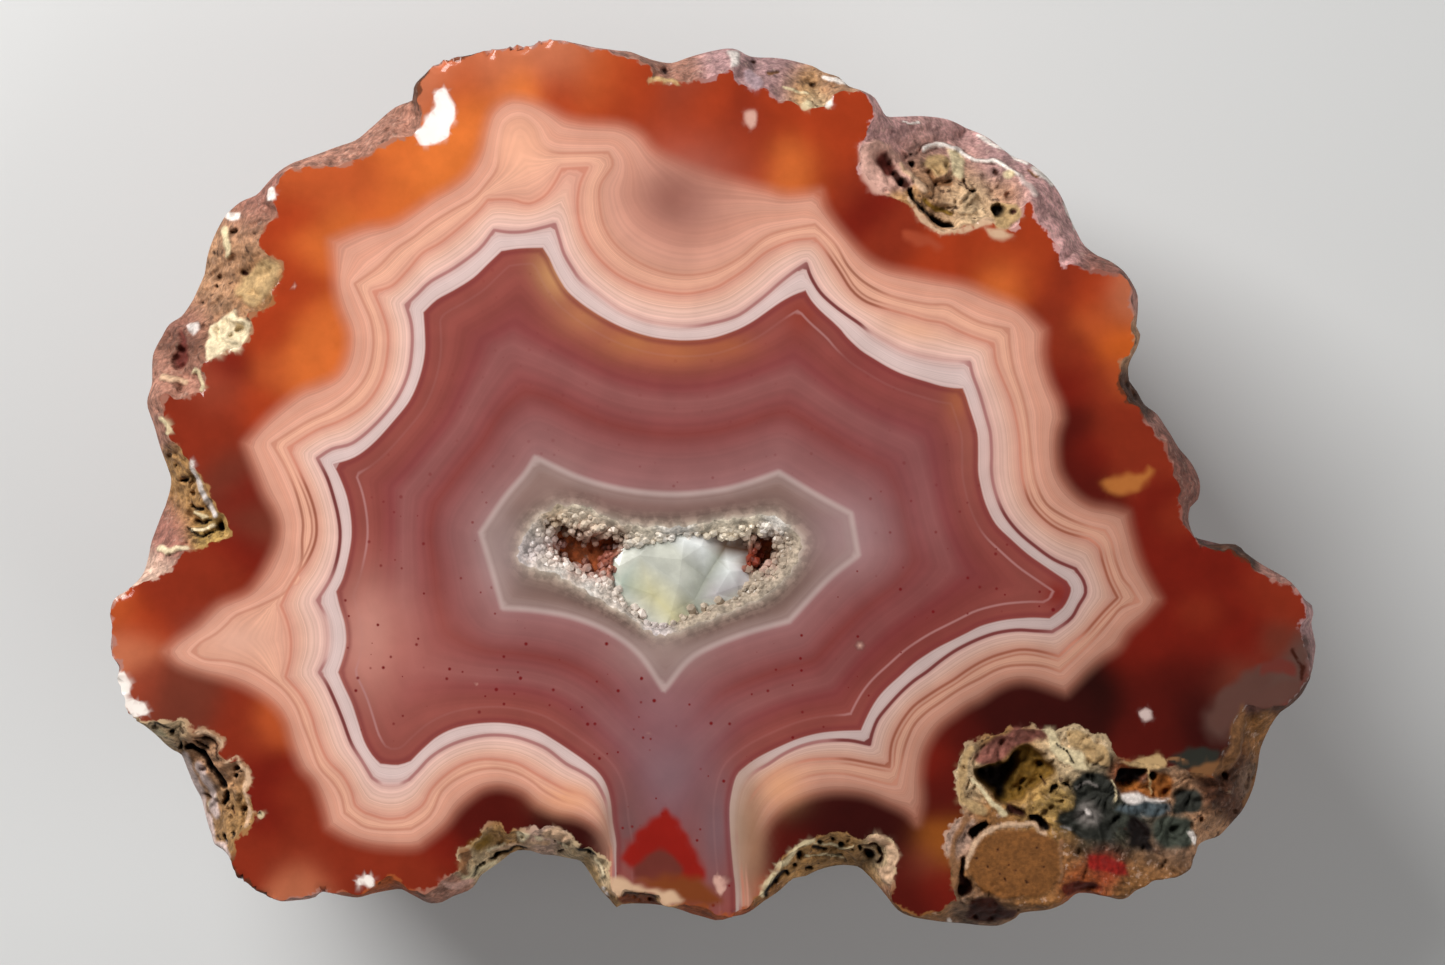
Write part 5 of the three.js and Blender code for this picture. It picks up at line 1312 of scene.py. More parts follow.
def lump_heights(angles, level):
    """How far the skin's lumps stand out at each angle, at one level down the dome."""
    height = np.zeros(len(angles))
    for i in range(LUMP_COUNT):
        size = LUMP_LEAST + LUMP_SPREAD * step_share(i, GOLDEN_STEP)
        turn = angles - 2 * math.pi * step_share(i, EVEN_STEPS[0])
        turn = (turn + math.pi) % (2 * math.pi) - math.pi
        away = np.hypot(turn * SKIN_RADIUS, (level - step_share(i, EVEN_STEPS[1])) * SKIN_LENGTH)
        height += LUMP_STEEPNESS * size * np.exp(-(away / size) ** 2)
    return height * math.sin(math.pi * min(1, level) ** LUMP_FADE)


def dome_rings(skin, top):
    """The rings of points that carry the silhouette down to the rest spot."""
    angles = np.arctan2(skin[:, 1], skin[:, 0])
    away = np.column_stack([np.cos(angles), np.sin(angles)])
    calm = np.mean([reaches(skin, angles + turn) for turn in SMOOTHING_ANGLES], axis=0)
    rest = np.array(REST_MIDDLE) + away * REST_SIZE
    table = np.linspace(-math.pi, math.pi, REACH_ANGLES)
    limits = reaches(skin, table)
    rings = []
    for ring in range(1, DOME_RINGS + 1):
        level = ring / DOME_RINGS
        turn = level * math.pi / 2
        share = min(1, FINE_FADE * level)
        wall = skin + (away * calm[:, None] - skin) * share
        plan = rest + (wall - rest) * math.cos(turn) ** DOME_FULLNESS
        height = top * (1 - math.sin(turn))
        lumps = lump_heights(angles, level)
        spots = with_height(plan, height)
        grain = BACK_ROUGHNESS[0] * rough_noise(spots, BACK_ROUGHNESS[1], 4)
        grain = grain - BACK_PITS[0] * fade(0.4, 0.1, cell_gaps(spots, BACK_PITS[1]))
        lumps = lumps + min(1, GRAIN_RISE * level) * min(1, GRAIN_FALL * (1 - level)) * grain
        plan = plan + away * (lumps * math.cos(turn))[:, None]
        reach = np.hypot(plan[:, 0], plan[:, 1])
        limit = np.interp(np.arctan2(plan[:, 1], plan[:, 0]), table, limits)
        plan = plan * np.minimum(1, limit / np.maximum(reach, TINY))[:, None]
        height = height - lumps * math.sin(turn) * (1 - level)
        rings.append(with_height(plan, np.maximum(height, 0)))
    rings[-1][:, 2] = 0
    return rings


def agate_stone(outlines):
    """The whole stone as one closed mesh: the top, the dome and the rest spot."""
    plan, triangles, skin = plan_mesh(outlines)
    top = Top(outlines, plan)
    vertices = [with_height(plan, top.height)]
    columns = len(skin)
    faces = [tuple(t) for t in triangles]
    above = skin
    start = len(plan)
    for ring in dome_rings(plan[skin], top.height[skin]):
        below = list(range(start, start + columns))
        for i in range(columns):
            j = (i + 1) % columns
            faces.append((above[i], below[i], below[j], above[j]))
        vertices.append(ring)
        above = below
        start += columns
    vertices.append(np.array([[*REST_MIDDLE, 0]]))
    faces += [(above[i], start, above[(i + 1) % columns]) for i in range(columns)]
    obj = new_mesh("agate_body", np.vstack(vertices), faces)
    middles = np.array([plan[list(t)].mean(0) for t in triangles])
    paint_stone(obj.data, top, is_rough(outlines, middles))
    return obj


def new_mesh(name, vertices, faces):
    """An object from vertices in millimetres."""
    mesh = bpy.data.meshes.new(name)
    mesh.from_pydata((np.asarray(vertices) * MM).tolist(), [], faces)
    mesh.update()
    obj = bpy.data.objects.new(name, mesh)
    bpy.context.scene.collection.objects.link(obj)
    return obj


def set_values(mesh, name, values, rest):
    """Stores one number for each vertex, with rest for those after the last value."""
    full = np.full(len(mesh.vertices), float(rest))
    full[:len(values)] = values
    mesh.attributes.new(name, "FLOAT", "POINT").data.foreach_set("value", full.astype(np.float32))


def set_colours(mesh, name, values):
    """Stores one colour for each vertex, clear black for those after the last value."""
    full = np.zeros((len(mesh.vertices), 4))
    full[:len(values), :values.shape[1]] = values
    if values.shape[1] == 3:
        full[:len(values), 3] = 1
    attribute = mesh.attributes.new(name, "FLOAT_COLOR", "POINT")
    attribute.data.foreach_set("color", full.astype(np.float32).ravel())


def matrix_field(top):
    """The colour of the rough parts at each point: the matrix, and the hollow's lining inside its edge."""
    paints = {name: paint for name, (paint, _) in MATRIX_KINDS.items()}
    field = coloured(top.points, MATRIX_SPOTS, paints, MATRIX_GROUND)
    lining = coloured(top.points, CRUST_SPOTS, CRUST_COLOURS, CRUST_GROUND)
    hole = fade(0, -HOLE_OVERLAP, hole_distance(top.points))[:, None]
    # The lining's bed is darkened by painted shade, where it shows between the crystals.
    lining = lining * HOLLOW_SHADE * (1 - hole) + linear(HOLE_COLOUR) * hole
    return np.where(top.druse[:, None] < LINING_EDGE, lining, field)


def paint_stone(mesh, top, rough):
    """Stores what the stone's two materials read, and gives each face its material."""
    points = top.points
    set_values(mesh, "band", top.band(), LAST_BAND)
    names = ("quartz_mm", "druse_mm", "white_mm", "dark_mm", "inner_mm", "outer_mm", "end_mm")
    for name, values in zip(names, [top.quartz, top.druse] + top.bands):
        set_values(mesh, name, values, FAR)
    set_values(mesh, "rough_mm", np.maximum(top.face, -top.group), FAR)
    set_values(mesh, "lumpy", lumpiness(points, 0.5), 0.4)
    # The relief feeds the matrix's painted highlight and painted shade; it is 0 in the hollow so that its bed
    # gets none.
    set_values(mesh, "relief", np.where(top.druse < 0, 0, top.height - (FACE - top.slope)), 0)
    set_colours(mesh, "agate_field", coloured(points, AGATE_SPOTS, AGATE_COLOURS, AGATE_GROUND))
    set_colours(mesh, "inner_stain", stained(points, INNER_STAINS))
    set_colours(mesh, "outer_stain", stained(points, OUTER_STAINS))
    set_colours(mesh, "patch", patched(points))
    set_colours(mesh, "lines", line_strengths(points))
    set_colours(mesh, "matrix_field", matrix_field(top))
    indices = np.ones(len(mesh.polygons), np.int32)
    indices[:len(rough)] = rough
    mesh.polygons.foreach_set("material_index", indices)
    mesh.materials.append(agate_material())
    mesh.materials.append(matrix_material())
    mesh.shade_smooth()
    keep_crease(mesh, indices)


def keep_crease(mesh, indices):
    """Makes the edges between the polished face and the rough parts sharp."""
    corner_edges = np.zeros(len(mesh.loops), np.int32)
    mesh.loops.foreach_get("edge_index", corner_edges)
    corner_counts = np.zeros(len(mesh.polygons), np.int32)
    mesh.polygons.foreach_get("loop_total", corner_counts)
    rough_sides = np.bincount(corner_edges, np.repeat(indices, corner_counts), len(mesh.edges))
    mesh.edges.foreach_set("use_edge_sharp", rough_sides == 1)


class Graph:
    """Builds the nodes of one material."""

    def __init__(self, name):
        self.material = bpy.data.materials.new(name)
        self.material.use_nodes = True
        self.tree = self.material.node_tree
        self.shader = self.tree.nodes["Principled BSDF"]
        self.place = self.node("ShaderNodeTexCoord").outputs["Object"]

    def node(self, kind, inputs=(), **settings):
        """A new node, with its settings and what feeds its inputs."""
        node = self.tree.nodes.new(kind)
        for name, value in settings.items():
            setattr(node, name, value)
        for socket, value in dict(inputs).items():
            self.feed(node.inputs[socket], value)
        return node

    def feed(self, socket, value):
        """Sets an input to a number or links it to another node's output."""
        if isinstance(value, bpy.types.NodeSocket):
            self.tree.links.new(value, socket)
        else:
            socket.default_value = value

    def stored(self, name, output="Fac"):
        """What the mesh stores under this name."""
        return self.node("ShaderNodeAttribute", attribute_name=name).outputs[output]

    def maths(self, operation, first, second=0.0, third=0.0):
        """The outcome of one sum."""
        return self.node("ShaderNodeMath", {0: first, 1: second, 2: third}, operation=operation).outputs[0]

    def times(self, first, second):
        """The product of two values."""
        return self.maths("MULTIPLY", first, second)

    def eased(self, value, low, high, start=0.0, end=1.0):
        """Changes smoothly from start to end while the value goes from low to high."""
        inputs = {"Value": value, "From Min": low, "From Max": high, "To Min": start, "To Max": end}
        return self.node("ShaderNodeMapRange", inputs, interpolation_type="SMOOTHSTEP").outputs[0]

    def ramp(self, value, stops):
        """The colour for a value from 0 to 1."""
        node = self.node("ShaderNodeValToRGB", {"Fac": value})
        elements = node.color_ramp.elements
        while len(elements) < len(stops):
            elements.new(0.5)
        for element, (position, paint) in zip(elements, stops):
            element.position = position
            element.color = (*linear(paint), 1)
        return node.outputs["Color"]

    def mix(self, amount, under, over, blend_type="MIX"):
        """One colour mixed into another by an amount."""
        inputs = {0: amount, 6: under, 7: over}
        return self.node("ShaderNodeMix", inputs, data_type="RGBA", blend_type=blend_type).outputs[2]

    def over(self, amount, under, paint):
        """A plain colour laid over another by an amount."""
        return self.mix(amount, under, (*linear(paint), 1))

    def grain(self, size, detail=3.0, roughness=0.5):
        """Noise with lumps of a size in millimetres."""
        inputs = {"Vector": self.place, "Scale": 1 / (size * MM), "Detail": detail, "Roughness": roughness}
        return self.node("ShaderNodeTexNoise", inputs).outputs["Fac"]

    def cells(self, size):
        """Random cells of a size in millimetres: distance from the middle, and a random colour."""
        node = self.node("ShaderNodeTexVoronoi", {"Vector": self.place, "Scale": 1 / (size * MM)})
        return node.outputs["Distance"], node.outputs["Color"]

    def stripes(self, value, often):
        """Irregular fine stripes along a value."""
        inputs = {"W": self.maths("MULTIPLY", value, often), "Scale": 1.0, "Detail": 3.0}
        return self.node("ShaderNodeTexNoise", inputs, noise_dimensions="1D").outputs["Fac"]

    def shade(self, colour, value, low, high, dark, light):
        """Makes a colour darker or lighter with a value."""
        return self.mix(1.0, colour, self.eased(value, low, high, dark, light), "MULTIPLY")

    def bump(self, height, strength, distance):
        """Roughens the surface with a height, its strength and its size in millimetres."""
        inputs = {"Height": height, "Strength": strength, "Distance": distance * MM}
        self.feed(self.shader.inputs["Normal"], self.node("ShaderNodeBump", inputs).outputs[0])

    def line(self, colour, distance, half, soft, paint, strength=1.0):
        """Draws a line of a plain colour where a stored distance is near 0."""
        away = self.maths("ABSOLUTE", distance)
        amount = self.times(self.eased(away, half - soft, half + soft, 1.0, 0.0), strength)
        return self.over(amount, colour, paint)

    def finish(self, **values):
        """Sets the shader's own numbers."""
        for name, value in values.items():
            self.shader.inputs[name.replace("_", " ")].default_value = value
        return self.material


# The colours of the bands, from the hollow's edge to the white band and from there outwards.
INNER_RAMP = [
    (0, "#b8a898"), (0.06, "#9a8678"), (0.14, "#7c665c"), (0.25, "#785e56"), (0.38, "#846860"),
    (0.499, "#8c706a"), (0.5, "#926564"), (0.56, "#8e5d5b"), (0.61, "#8a5654"), (0.655, "#854a48"),
    (0.695, "#803d39"), (0.73, "#844543"), (0.77, "#8a504d"), (0.8, "#8b524f"), (0.845, "#833f3e"),
    (0.89, "#86423c"), (0.94, "#8c4840"), (1, "#8a443c"),
]
OUTER_RAMP = [
    (0, "#ccaea8"), (0.06, "#d0b6b0"), (0.12, "#d3b8b2"), (0.19, "#cba8a0"), (0.21, "#cfa298"),
    (0.24, "#dcb2a4"), (0.29, "#deb3a2"), (0.34, "#d9a792"), (0.385, "#cf9480"), (0.41, "#d1957f"),
    (0.44, "#d79d86"), (0.52, "#dfa68c"), (0.56, "#d99e85"), (0.59, "#cc937b"), (0.63, "#d89e88"),
    (0.68, "#d0937c"), (0.72, "#d09680"), (0.76, "#cb8e78"), (0.8, "#be7c66"),
]


# The fine lines beyond the white band: stored distance, number in FADES, place and half width in mm, colour,
# strength and dark colour.
OUTER_LINES = [
    ("outer_mm", 2, 0, 0.09, "#bc7c66", 0.65, "#8e5440"),
    ("inner_mm", 1, 0.34, 0.07, "#c98e78", 0.6, "#94563f"),
    ("inner_mm", 1, 0, 0.1, "#c27c66", 0.75, "#824632"),
    ("dark_mm", 0, 0, 0.12, "#a06864", 0.9, "#6a2c2a"),
]
OUTER_SOFTNESS = 0.07

# The lines inside the white band: stored distance, place, half width and softness in mm, colour and strength.
INNER_LINES = [
    ("white_mm", -0.25, 0.15, 0.2, "#742e30", 0.55),
    ("quartz_mm", 0.0, 0.2, 0.2, "#b49c96", 0.8),
    ("quartz_mm", -0.5, 0.2, 0.4, "#a08a84", 0.35),
]

# The faint arc inside the white band: place, half width, softness and colour, and then the specks' cells and
# their colour.
ARC = (-1.2, 0.08, 0.07, "#b07c78")
SPECK_CELL = 0.85
SPECK_COLOUR = "#6e181a"


def agate_material():
    """The polished face: the bands, the outer agate and its stains."""
    graph = Graph("agate")
    band = graph.stored("band")
    inner = inner_agate(graph, band)
    outer = outer_agate(graph, band)
    white = graph.stored("white_mm")
    colour = graph.mix(graph.eased(white, -0.07, 0.07), inner, outer)
    ragged = graph.maths("MULTIPLY_ADD", graph.grain(0.9, 3.0, 0.5), 1.6, -0.8)
    crumbs = graph.eased(graph.maths("ADD", graph.stored("rough_mm"), ragged), -0.2, 0.02, 0.0, 0.8)
    colour = graph.mix(crumbs, colour, graph.stored("matrix_field", "Color"))
    colour = graph.mix(graph.stored("patch", "Alpha"), colour, graph.stored("patch", "Color"))
    colour = graph.shade(colour, graph.grain(3.0, 5.0), 0.3, 0.7, 0.94, 1.05)
    graph.feed(graph.shader.inputs["Base Color"], colour)
    return graph.finish(Roughness=0.16, IOR=1.54, Specular_IOR_Level=0.3)


def inner_agate(graph, band):
    """The quartz rim round the hollow and the dark bands up to the white one."""
    colour = graph.ramp(graph.maths("MULTIPLY_ADD", band, 0.5, 0.5), INNER_RAMP)
    needles = graph.eased(graph.grain(1.0, 4.0, 0.6), 0.4, 0.6, 0.72, 1.2)
    near = graph.eased(graph.stored("druse_mm"), 1.5, 0.4)
    colour = graph.mix(near, colour, graph.mix(1.0, colour, needles, "MULTIPLY"))
    colour = graph.shade(colour, graph.stripes(band, 16.0), 0.3, 0.7, 0.95, 1.05)
    colour = graph.mix(graph.stored("inner_stain", "Alpha"), colour, graph.stored("inner_stain", "Color"))
    arc_strength = graph.maths("MULTIPLY_ADD", graph.stored("lines", "Alpha"), 0.6, 0.1)
    for name, place, half, soft, paint, strength in [("white_mm", *ARC, arc_strength)] + INNER_LINES:
        distance = graph.maths("SUBTRACT", graph.stored(name), place)
        colour = graph.line(colour, distance, half, soft, paint, strength)
    return specked(graph, colour)


def specked(graph, colour):
    """Small dark-red specks, mostly in the lower half."""
    distance, random_colour = graph.cells(SPECK_CELL)
    random_values = graph.node("ShaderNodeSeparateColor", {0: random_colour}).outputs
    chosen = graph.eased(random_values[0], 0.32, 0.34)
    height = graph.node("ShaderNodeSeparateXYZ", {0: graph.place}).outputs["Y"]
    lower = graph.eased(height, 6 * MM, -10 * MM, 0.15, 1.0)
    spread = graph.maths("DIVIDE", distance, graph.maths("MULTIPLY_ADD", random_values[1], 1.1, 0.4))
    dots = graph.eased(spread, 0.06, 0.16, 1.0, 0.0)
    amount = graph.times(graph.times(dots, chosen), lower)
    beyond = graph.eased(graph.stored("quartz_mm"), 0.2, 0.6)
    return graph.over(graph.times(amount, beyond), colour, SPECK_COLOUR)


def outer_agate(graph, band):
    """The white band, the pale bands with their fine lines, and the orange agate round them."""
    share = graph.times(graph.maths("SUBTRACT", band, 1.0), 0.2)
    colour = graph.ramp(share, OUTER_RAMP)
    colour = graph.shade(colour, graph.stripes(band, 7.0), 0.3, 0.7, 0.93, 1.05)
    colour = graph.shade(colour, graph.stripes(band, 19.0), 0.35, 0.65, 0.94, 1.05)
    place = graph.node("ShaderNodeSeparateXYZ", {0: graph.place}).outputs
    # Painted shade: the bands grow darker towards the lower right, as the light falls off there.
    lower_right_painted_shade = graph.maths("SUBTRACT", place["X"], place["Y"])
    colour = graph.shade(colour, lower_right_painted_shade, 12 * MM, 38 * MM, 1.0, 0.74)
    field = graph.stored("agate_field", "Color")
    field = graph.shade(field, graph.grain(2.6, 6.0, 0.6), 0.3, 0.7, 0.93, 1.07)
    colour = graph.mix(graph.eased(graph.stored("end_mm"), -0.8, 0.9), colour, field)
    stain = graph.stored("outer_stain", "Alpha")
    colour = graph.mix(stain, colour, graph.stored("outer_stain", "Color"))
    lines = graph.node("ShaderNodeSeparateColor", {0: graph.stored("lines", "Color")}).outputs
    dark = graph.stored("lines", "Alpha")
    for name, number, place, half, light, strength, deep in OUTER_LINES:
        distance = graph.maths("SUBTRACT", graph.stored(name), place)
        amount = graph.times(lines[number], strength)
        colour = graph.line(colour, distance, half, OUTER_SOFTNESS, light, amount)
        colour = graph.line(colour, distance, half, OUTER_SOFTNESS, deep, graph.times(amount, dark))
    return colour


# The rind's colours, and those of the matrix: its flecks, the painted highlight where it is high, and the
# painted shade in its pores and deep parts.
SKIN_RAMP = [(0.2, "#5c3a32"), (0.4, "#8a5c52"), (0.5, "#a06c66"), (0.62, "#8c6a60"), (0.8, "#b48e84")]
RIDGE_HIGHLIGHT_COLOUR = "#dabc98"
PORE_SHADE_COLOUR = "#34190e"
RECESS_SHADE_COLOUR = "#40240f"
FLECK_COLOUR = "#dcbca8"


def matrix_material():
    """The rough matrix in the pockets and the rind on the back."""
    graph = Graph("matrix")
    skin = graph.ramp(graph.grain(5.0, 6.0, 0.6), SKIN_RAMP)
    colour = graph.mix(graph.stored("matrix_field", "Alpha"), skin, graph.stored("matrix_field", "Color"))
    colour = graph.shade(colour, graph.grain(1.2, 5.0, 0.65), 0.32, 0.68, 0.66, 1.3)
    lumpy = graph.stored("lumpy")
    relief = graph.stored("relief")
    # Painted highlight: a pale colour laid in patches over the high parts of the relief.
    high = graph.times(graph.eased(relief, 0.0, 0.45), graph.eased(graph.grain(0.8, 4.0), 0.4, 0.62))
    colour = graph.over(graph.times(high, 0.4), colour, RIDGE_HIGHLIGHT_COLOUR)
    # Painted shade: dark specks that stand for the shade in small pores, more where the matrix is lumpy.
    pore_shade = graph.times(graph.eased(graph.grain(0.75, 3.0, 0.5), 0.4, 0.32), lumpy)
    colour = graph.over(graph.times(pore_shade, 0.75), colour, PORE_SHADE_COLOUR)
    # Painted shade: a dark brown laid over the deep parts of the relief, in the crevices.
    colour = graph.over(graph.times(graph.eased(relief, -0.5, -1.7), 0.8), colour, RECESS_SHADE_COLOUR)
    flecks = graph.eased(graph.grain(0.55, 4.0, 0.6), 0.56, 0.66)
    flecks = graph.times(flecks, graph.eased(lumpy, 0.7, 0.3, 0.1, 0.32))
    colour = graph.over(flecks, colour, FLECK_COLOUR)
    colour = graph.mix(graph.stored("patch", "Alpha"), colour, graph.stored("patch", "Color"))
    colour = graph.shade(colour, graph.grain(1.0, 4.0, 0.6), 0.34, 0.66, 0.72, 1.08)
    colour = graph.shade(colour, graph.grain(0.3, 3.0), 0.35, 0.65, 0.85, 1.12)
    graph.feed(graph.shader.inputs["Base Color"], colour)
    graph.bump(graph.grain(0.4, 5.0, 0.65), 0.7, 0.14)
    return graph.finish(Roughness=0.7, IOR=1.5, Specular_IOR_Level=0.15)


def crust_material():
    """Sugary small quartz crystals."""
    graph = Graph("sugar_quartz")
    colour = graph.shade(graph.stored("tone", "Color"), graph.grain(0.6, 4.0), 0.3, 0.7, 0.85, 1.1)
    graph.feed(graph.shader.inputs["Base Color"], colour)
    return graph.finish(Roughness=0.35, IOR=1.54, Transmission_Weight=0.1)


def clear_material():
    """The clear big crystals, milky inside."""
    graph = Graph("clear_quartz")
    cloud = graph.shade(graph.stored("tone", "Color"), graph.grain(1.6, 5.0), 0.3, 0.7, 0.85, 1.12)
    graph.feed(graph.shader.inputs["Base Color"], cloud)
    graph.bump(graph.grain(0.7, 4.0), 0.3, 0.12)
    return graph.finish(Roughness=0.25, IOR=1.54, Transmission_Weight=0.2)


# Colours of the crust, and where each is: place and how far it reaches.
CRUST_COLOURS = {
    "cream": "#ecdcc4", "white": "#f8f0e6", "pale": "#dccdc0", "lilac": "#d4c6c2", "sand": "#d8bea0",
    "rust": "#a86c58", "dark": "#8a3018", "pink": "#d8a498", "dim": "#b8a692",
}
# Along the top of the ring the colours are lighter than the crust itself: painted light against the shade
# that the wall casts there.
CRUST_SPOTS = {
    "cream": [(-10, -2.2, 1.4), (-8, -3, 1.2), (-5.6, -3.4, 1.4), (0, -2.8, 1.2), (2.4, -2.7, 1.2)],
    "white": [(-3, -3.1, 1.2), (4.6, -3, 0.8), (-9.2, -7.6, 0.6), (-11.6, -6.2, 0.6), (-5.6, -4.4, 0.6)],
    "pale": [(-6.2, -9.6, 1), (-8, -8.4, 0.9), (-10.2, -7, 0.6), (-12.6, -5.8, 1), (-13.4, -3.2, 0.9)],
    "lilac": [(-4, -11.4, 1), (-14, -4.8, 1.2)],
    "sand": [(-12, -2, 1.2)],
    "rust": [(-11.6, -5.4, 0.6), (-8.8, -6.4, 0.8), (-10, -6.2, 0.6)],
    "dark": [(-9.4, -4.4, 1.6), (-11.4, -4, 1), (-7.4, -4, 0.9), (4, -4.6, 1), (3.2, -5.8, 0.6)],
    "pink": [(4.1, -6.3, 0.5)],
    # The dim places along the lower ring are darker than the crust itself: painted shade against the key
    # light that falls there.
    "dim": [
        (6, -4.2, 1), (5.4, -5.6, 1), (4.6, -7.2, 1), (3.2, -7.4, 0.6), (2.4, -8.8, 1), (0, -9.7, 1),
        (-2, -10.7, 1),
    ],
}
AGATE_GROUND = "#a8441e"
MATRIX_GROUND = "#a8786c"
CRUST_GROUND = "#d4c4aa"
HOLE_COLOUR = "#a4562f"
LEFT_HOLE = [
    (-12.8, -2.7), (-11.7, -2.35), (-11.05, -2.7), (-9.05, -3.6), (-7.3, -3.25), (-6.1, -4.25), (-6.45, -4.7),
    (-7.75, -5.55), (-8.1, -6.9), (-9.05, -6.9), (-10.6, -6.45), (-11.7, -6), (-12.15, -4.7),
]
RIGHT_HOLE = [(2.8, -3.2), (4.4, -3.3), (5.3, -4.4), (4.9, -5.9), (3.5, -6.8), (2.8, -6.2), (2.8, -4.7)]
# The hollow: depth of its ledge, its holes and the room for the big crystal, how far its bed lies under the
# crystals, and the painted shade that darkens the bed between them.
LEDGE_DEPTH = 0.6
HOLE_DEPTH = 2.2
BIG_ROOM = 3.0
CRUST_COVER = 0.35
COVER_REACH = 0.8
HOLLOW_SHADE = 0.85
LINING_EDGE = 0.3

# The small crystals: how far apart they are, how far they stand over the edges of the hollow, the big crystal
# and the holes and stay under the face, where they lean to and how much, and the ranges of their sizes.
CRYSTAL_SIDES = 6
CRYSTAL_STEP = 0.3
CRYSTAL_OVERLAP = 0.1
BIG_OVERLAP = 0.15
HOLE_OVERLAP = 0.5
CRYSTAL_GAP = 0.1
HOLLOW_MIDDLE = (-4, -5.6)
CRYSTAL_LEAN = 0.02
CRYSTAL_TILT = 0.4
CRYSTAL_SHIFT = 0.08
CRYSTAL_RADII = (0.17, 0.36)
CRYSTAL_GROWTH = 0.14
CRYSTAL_LENGTHS = (1.0, 1.5)
CRYSTAL_TIP = 0.8
CRYSTAL_SHADES = (0.86, 1.06)
CRYSTAL_SINK = (0.03, 0.3)


def hole_distance(points):
    """How far each point is from the two dark holes, negative inside them."""
    return np.minimum(*(loop_distance(rounded(hole, LINE_STEP), points) for hole in (LEFT_HOLE, RIGHT_HOLE)))


def big_distance(points):
    """How far each point is from the margin of the big crystal, negative inside it."""
    return loop_distance(np.array([place[:2] for place in CRYSTAL_RIM]), points)


def crust_depth(points, edge):
    """How far the hollow's lining lies under the face, from each point's distance to the hollow's edge."""
    holes = HOLE_DEPTH * fade(0.1, -0.7, hole_distance(points))
    return LEDGE_DEPTH * fade(0, -2, edge) + BIG_ROOM * fade(0, -1, big_distance(points)) + holes


def crystal_points(base, direction, radius, length, tip, turn):
    """A six-sided crystal with a pointed end."""
    along = Vector(direction).normalized()
    side = along.orthogonal().normalized()
    up = along.cross(side)
    start = Vector(base)
    points = []
    for distance in (0, length - tip):
        for corner in range(CRYSTAL_SIDES):
            angle = turn + corner * (2 * math.pi / CRYSTAL_SIDES)
            points.append(start + along * distance + (side * math.cos(angle) + up * math.sin(angle)) * radius)
    return points + [start, start + along * length]


def crystal_faces(first):
    """The faces of one crystal whose points start at a number."""
    upper = first + CRYSTAL_SIDES
    foot = upper + CRYSTAL_SIDES
    faces = []
    for i in range(CRYSTAL_SIDES):
        j = (i + 1) % CRYSTAL_SIDES
        faces.append((first + i, first + j, upper + j, upper + i))
        faces.append((first + j, first + i, foot))
        faces.append((upper + i, upper + j, foot + 1))
    return faces


def crust(outlines):
    """The small crystals that line the hollow."""
    draw = random.Random(CRYSTAL_SEED)
    points = even_points(CRYSTAL_STEP)
    points = points[loop_distance(outlines.druse, points) < CRYSTAL_OVERLAP]
    points = points[(big_distance(points) >= -BIG_OVERLAP) & (hole_distance(points) >= -HOLE_OVERLAP)]
    depths = crust_depth(points, loop_distance(outlines.druse, points))
    tints = coloured(points, CRUST_SPOTS, CRUST_COLOURS, CRUST_GROUND)
    vertices, faces, tones = [], [], []
    for (x, y), depth, tint in zip(points, depths, tints):
        lean = (np.array(HOLLOW_MIDDLE) - (x, y)) * CRYSTAL_LEAN
        direction = (lean[0] + draw.gauss(0, CRYSTAL_TILT), lean[1] + draw.gauss(0, CRYSTAL_TILT), 1)
        radius = draw.uniform(*CRYSTAL_RADII) + CRYSTAL_GROWTH * draw.random() ** 3
        length = draw.uniform(*CRYSTAL_LENGTHS)
        top = FACE - CRYSTAL_SINK[0] - depth - CRYSTAL_SINK[1] * draw.random()
        place = (x + draw.gauss(0, CRYSTAL_SHIFT), y + draw.gauss(0, CRYSTAL_SHIFT), top - length)
        tone = tint * draw.uniform(*CRYSTAL_SHADES)
        faces += crystal_faces(len(vertices))
        crystal = crystal_points(place, direction, radius, length, radius * CRYSTAL_TIP, draw.uniform(0, 1))
        vertices += crystal
        tones += [tone] * len(crystal)
    vertices = np.array([tuple(v) for v in vertices])
    vertices[:, 2] = np.minimum(vertices[:, 2], FACE - CRYSTAL_GAP)
    obj = new_mesh("sugar_crust", vertices, faces)
    set_colours(obj.data, "tone", np.array(tones))
    obj.data.materials.append(crust_material())
    return obj


# The big crystal's facets meet at these places: x, y, depth under the face and colour.
# The near-white glint colour, at some ridges and corners of the facets, is a painted highlight.
MILKY_COLOURS = {
    "milk": "#d4d4c6", "glint": "#f8faf6", "grey": "#a6a89a", "lilac": "#cfc8c8", "cream": "#dcd4a8",
    "green": "#c2ccbc", "brown": "#7c5c44", "amber": "#6e4024",
}
CRYSTAL_RIM = [
    (-7.9, -6.3, 1.5, "green"), (-7.7, -5.4, 1.4, "milk"), (-6.7, -4.7, 1.2, "milk"),
    (-5.3, -4.2, 1.1, "grey"), (-3.9, -3.7, 1, "milk"), (-2.1, -3.4, 1, "milk"), (-0.6, -3.5, 1.1, "lilac"),
    (1.4, -3.6, 1.4, "brown"), (2.6, -3.7, 1.7, "brown"), (3, -5, 2, "amber"), (2.8, -6, 1.7, "brown"),
    (2.9, -7.4, 1.2, "lilac"), (2.1, -8.6, 1.2, "milk"), (0.4, -9.2, 1, "milk"), (-1.1, -10, 1, "grey"),
    (-2.9, -10.6, 0.9, "cream"), (-3.8, -11, 0.8, "milk"), (-5.2, -10.6, 0.9, "milk"),
    (-6.3, -9.8, 1.1, "green"), (-7, -9, 1.2, "milk"), (-7.6, -7.9, 1.4, "glint"),
]
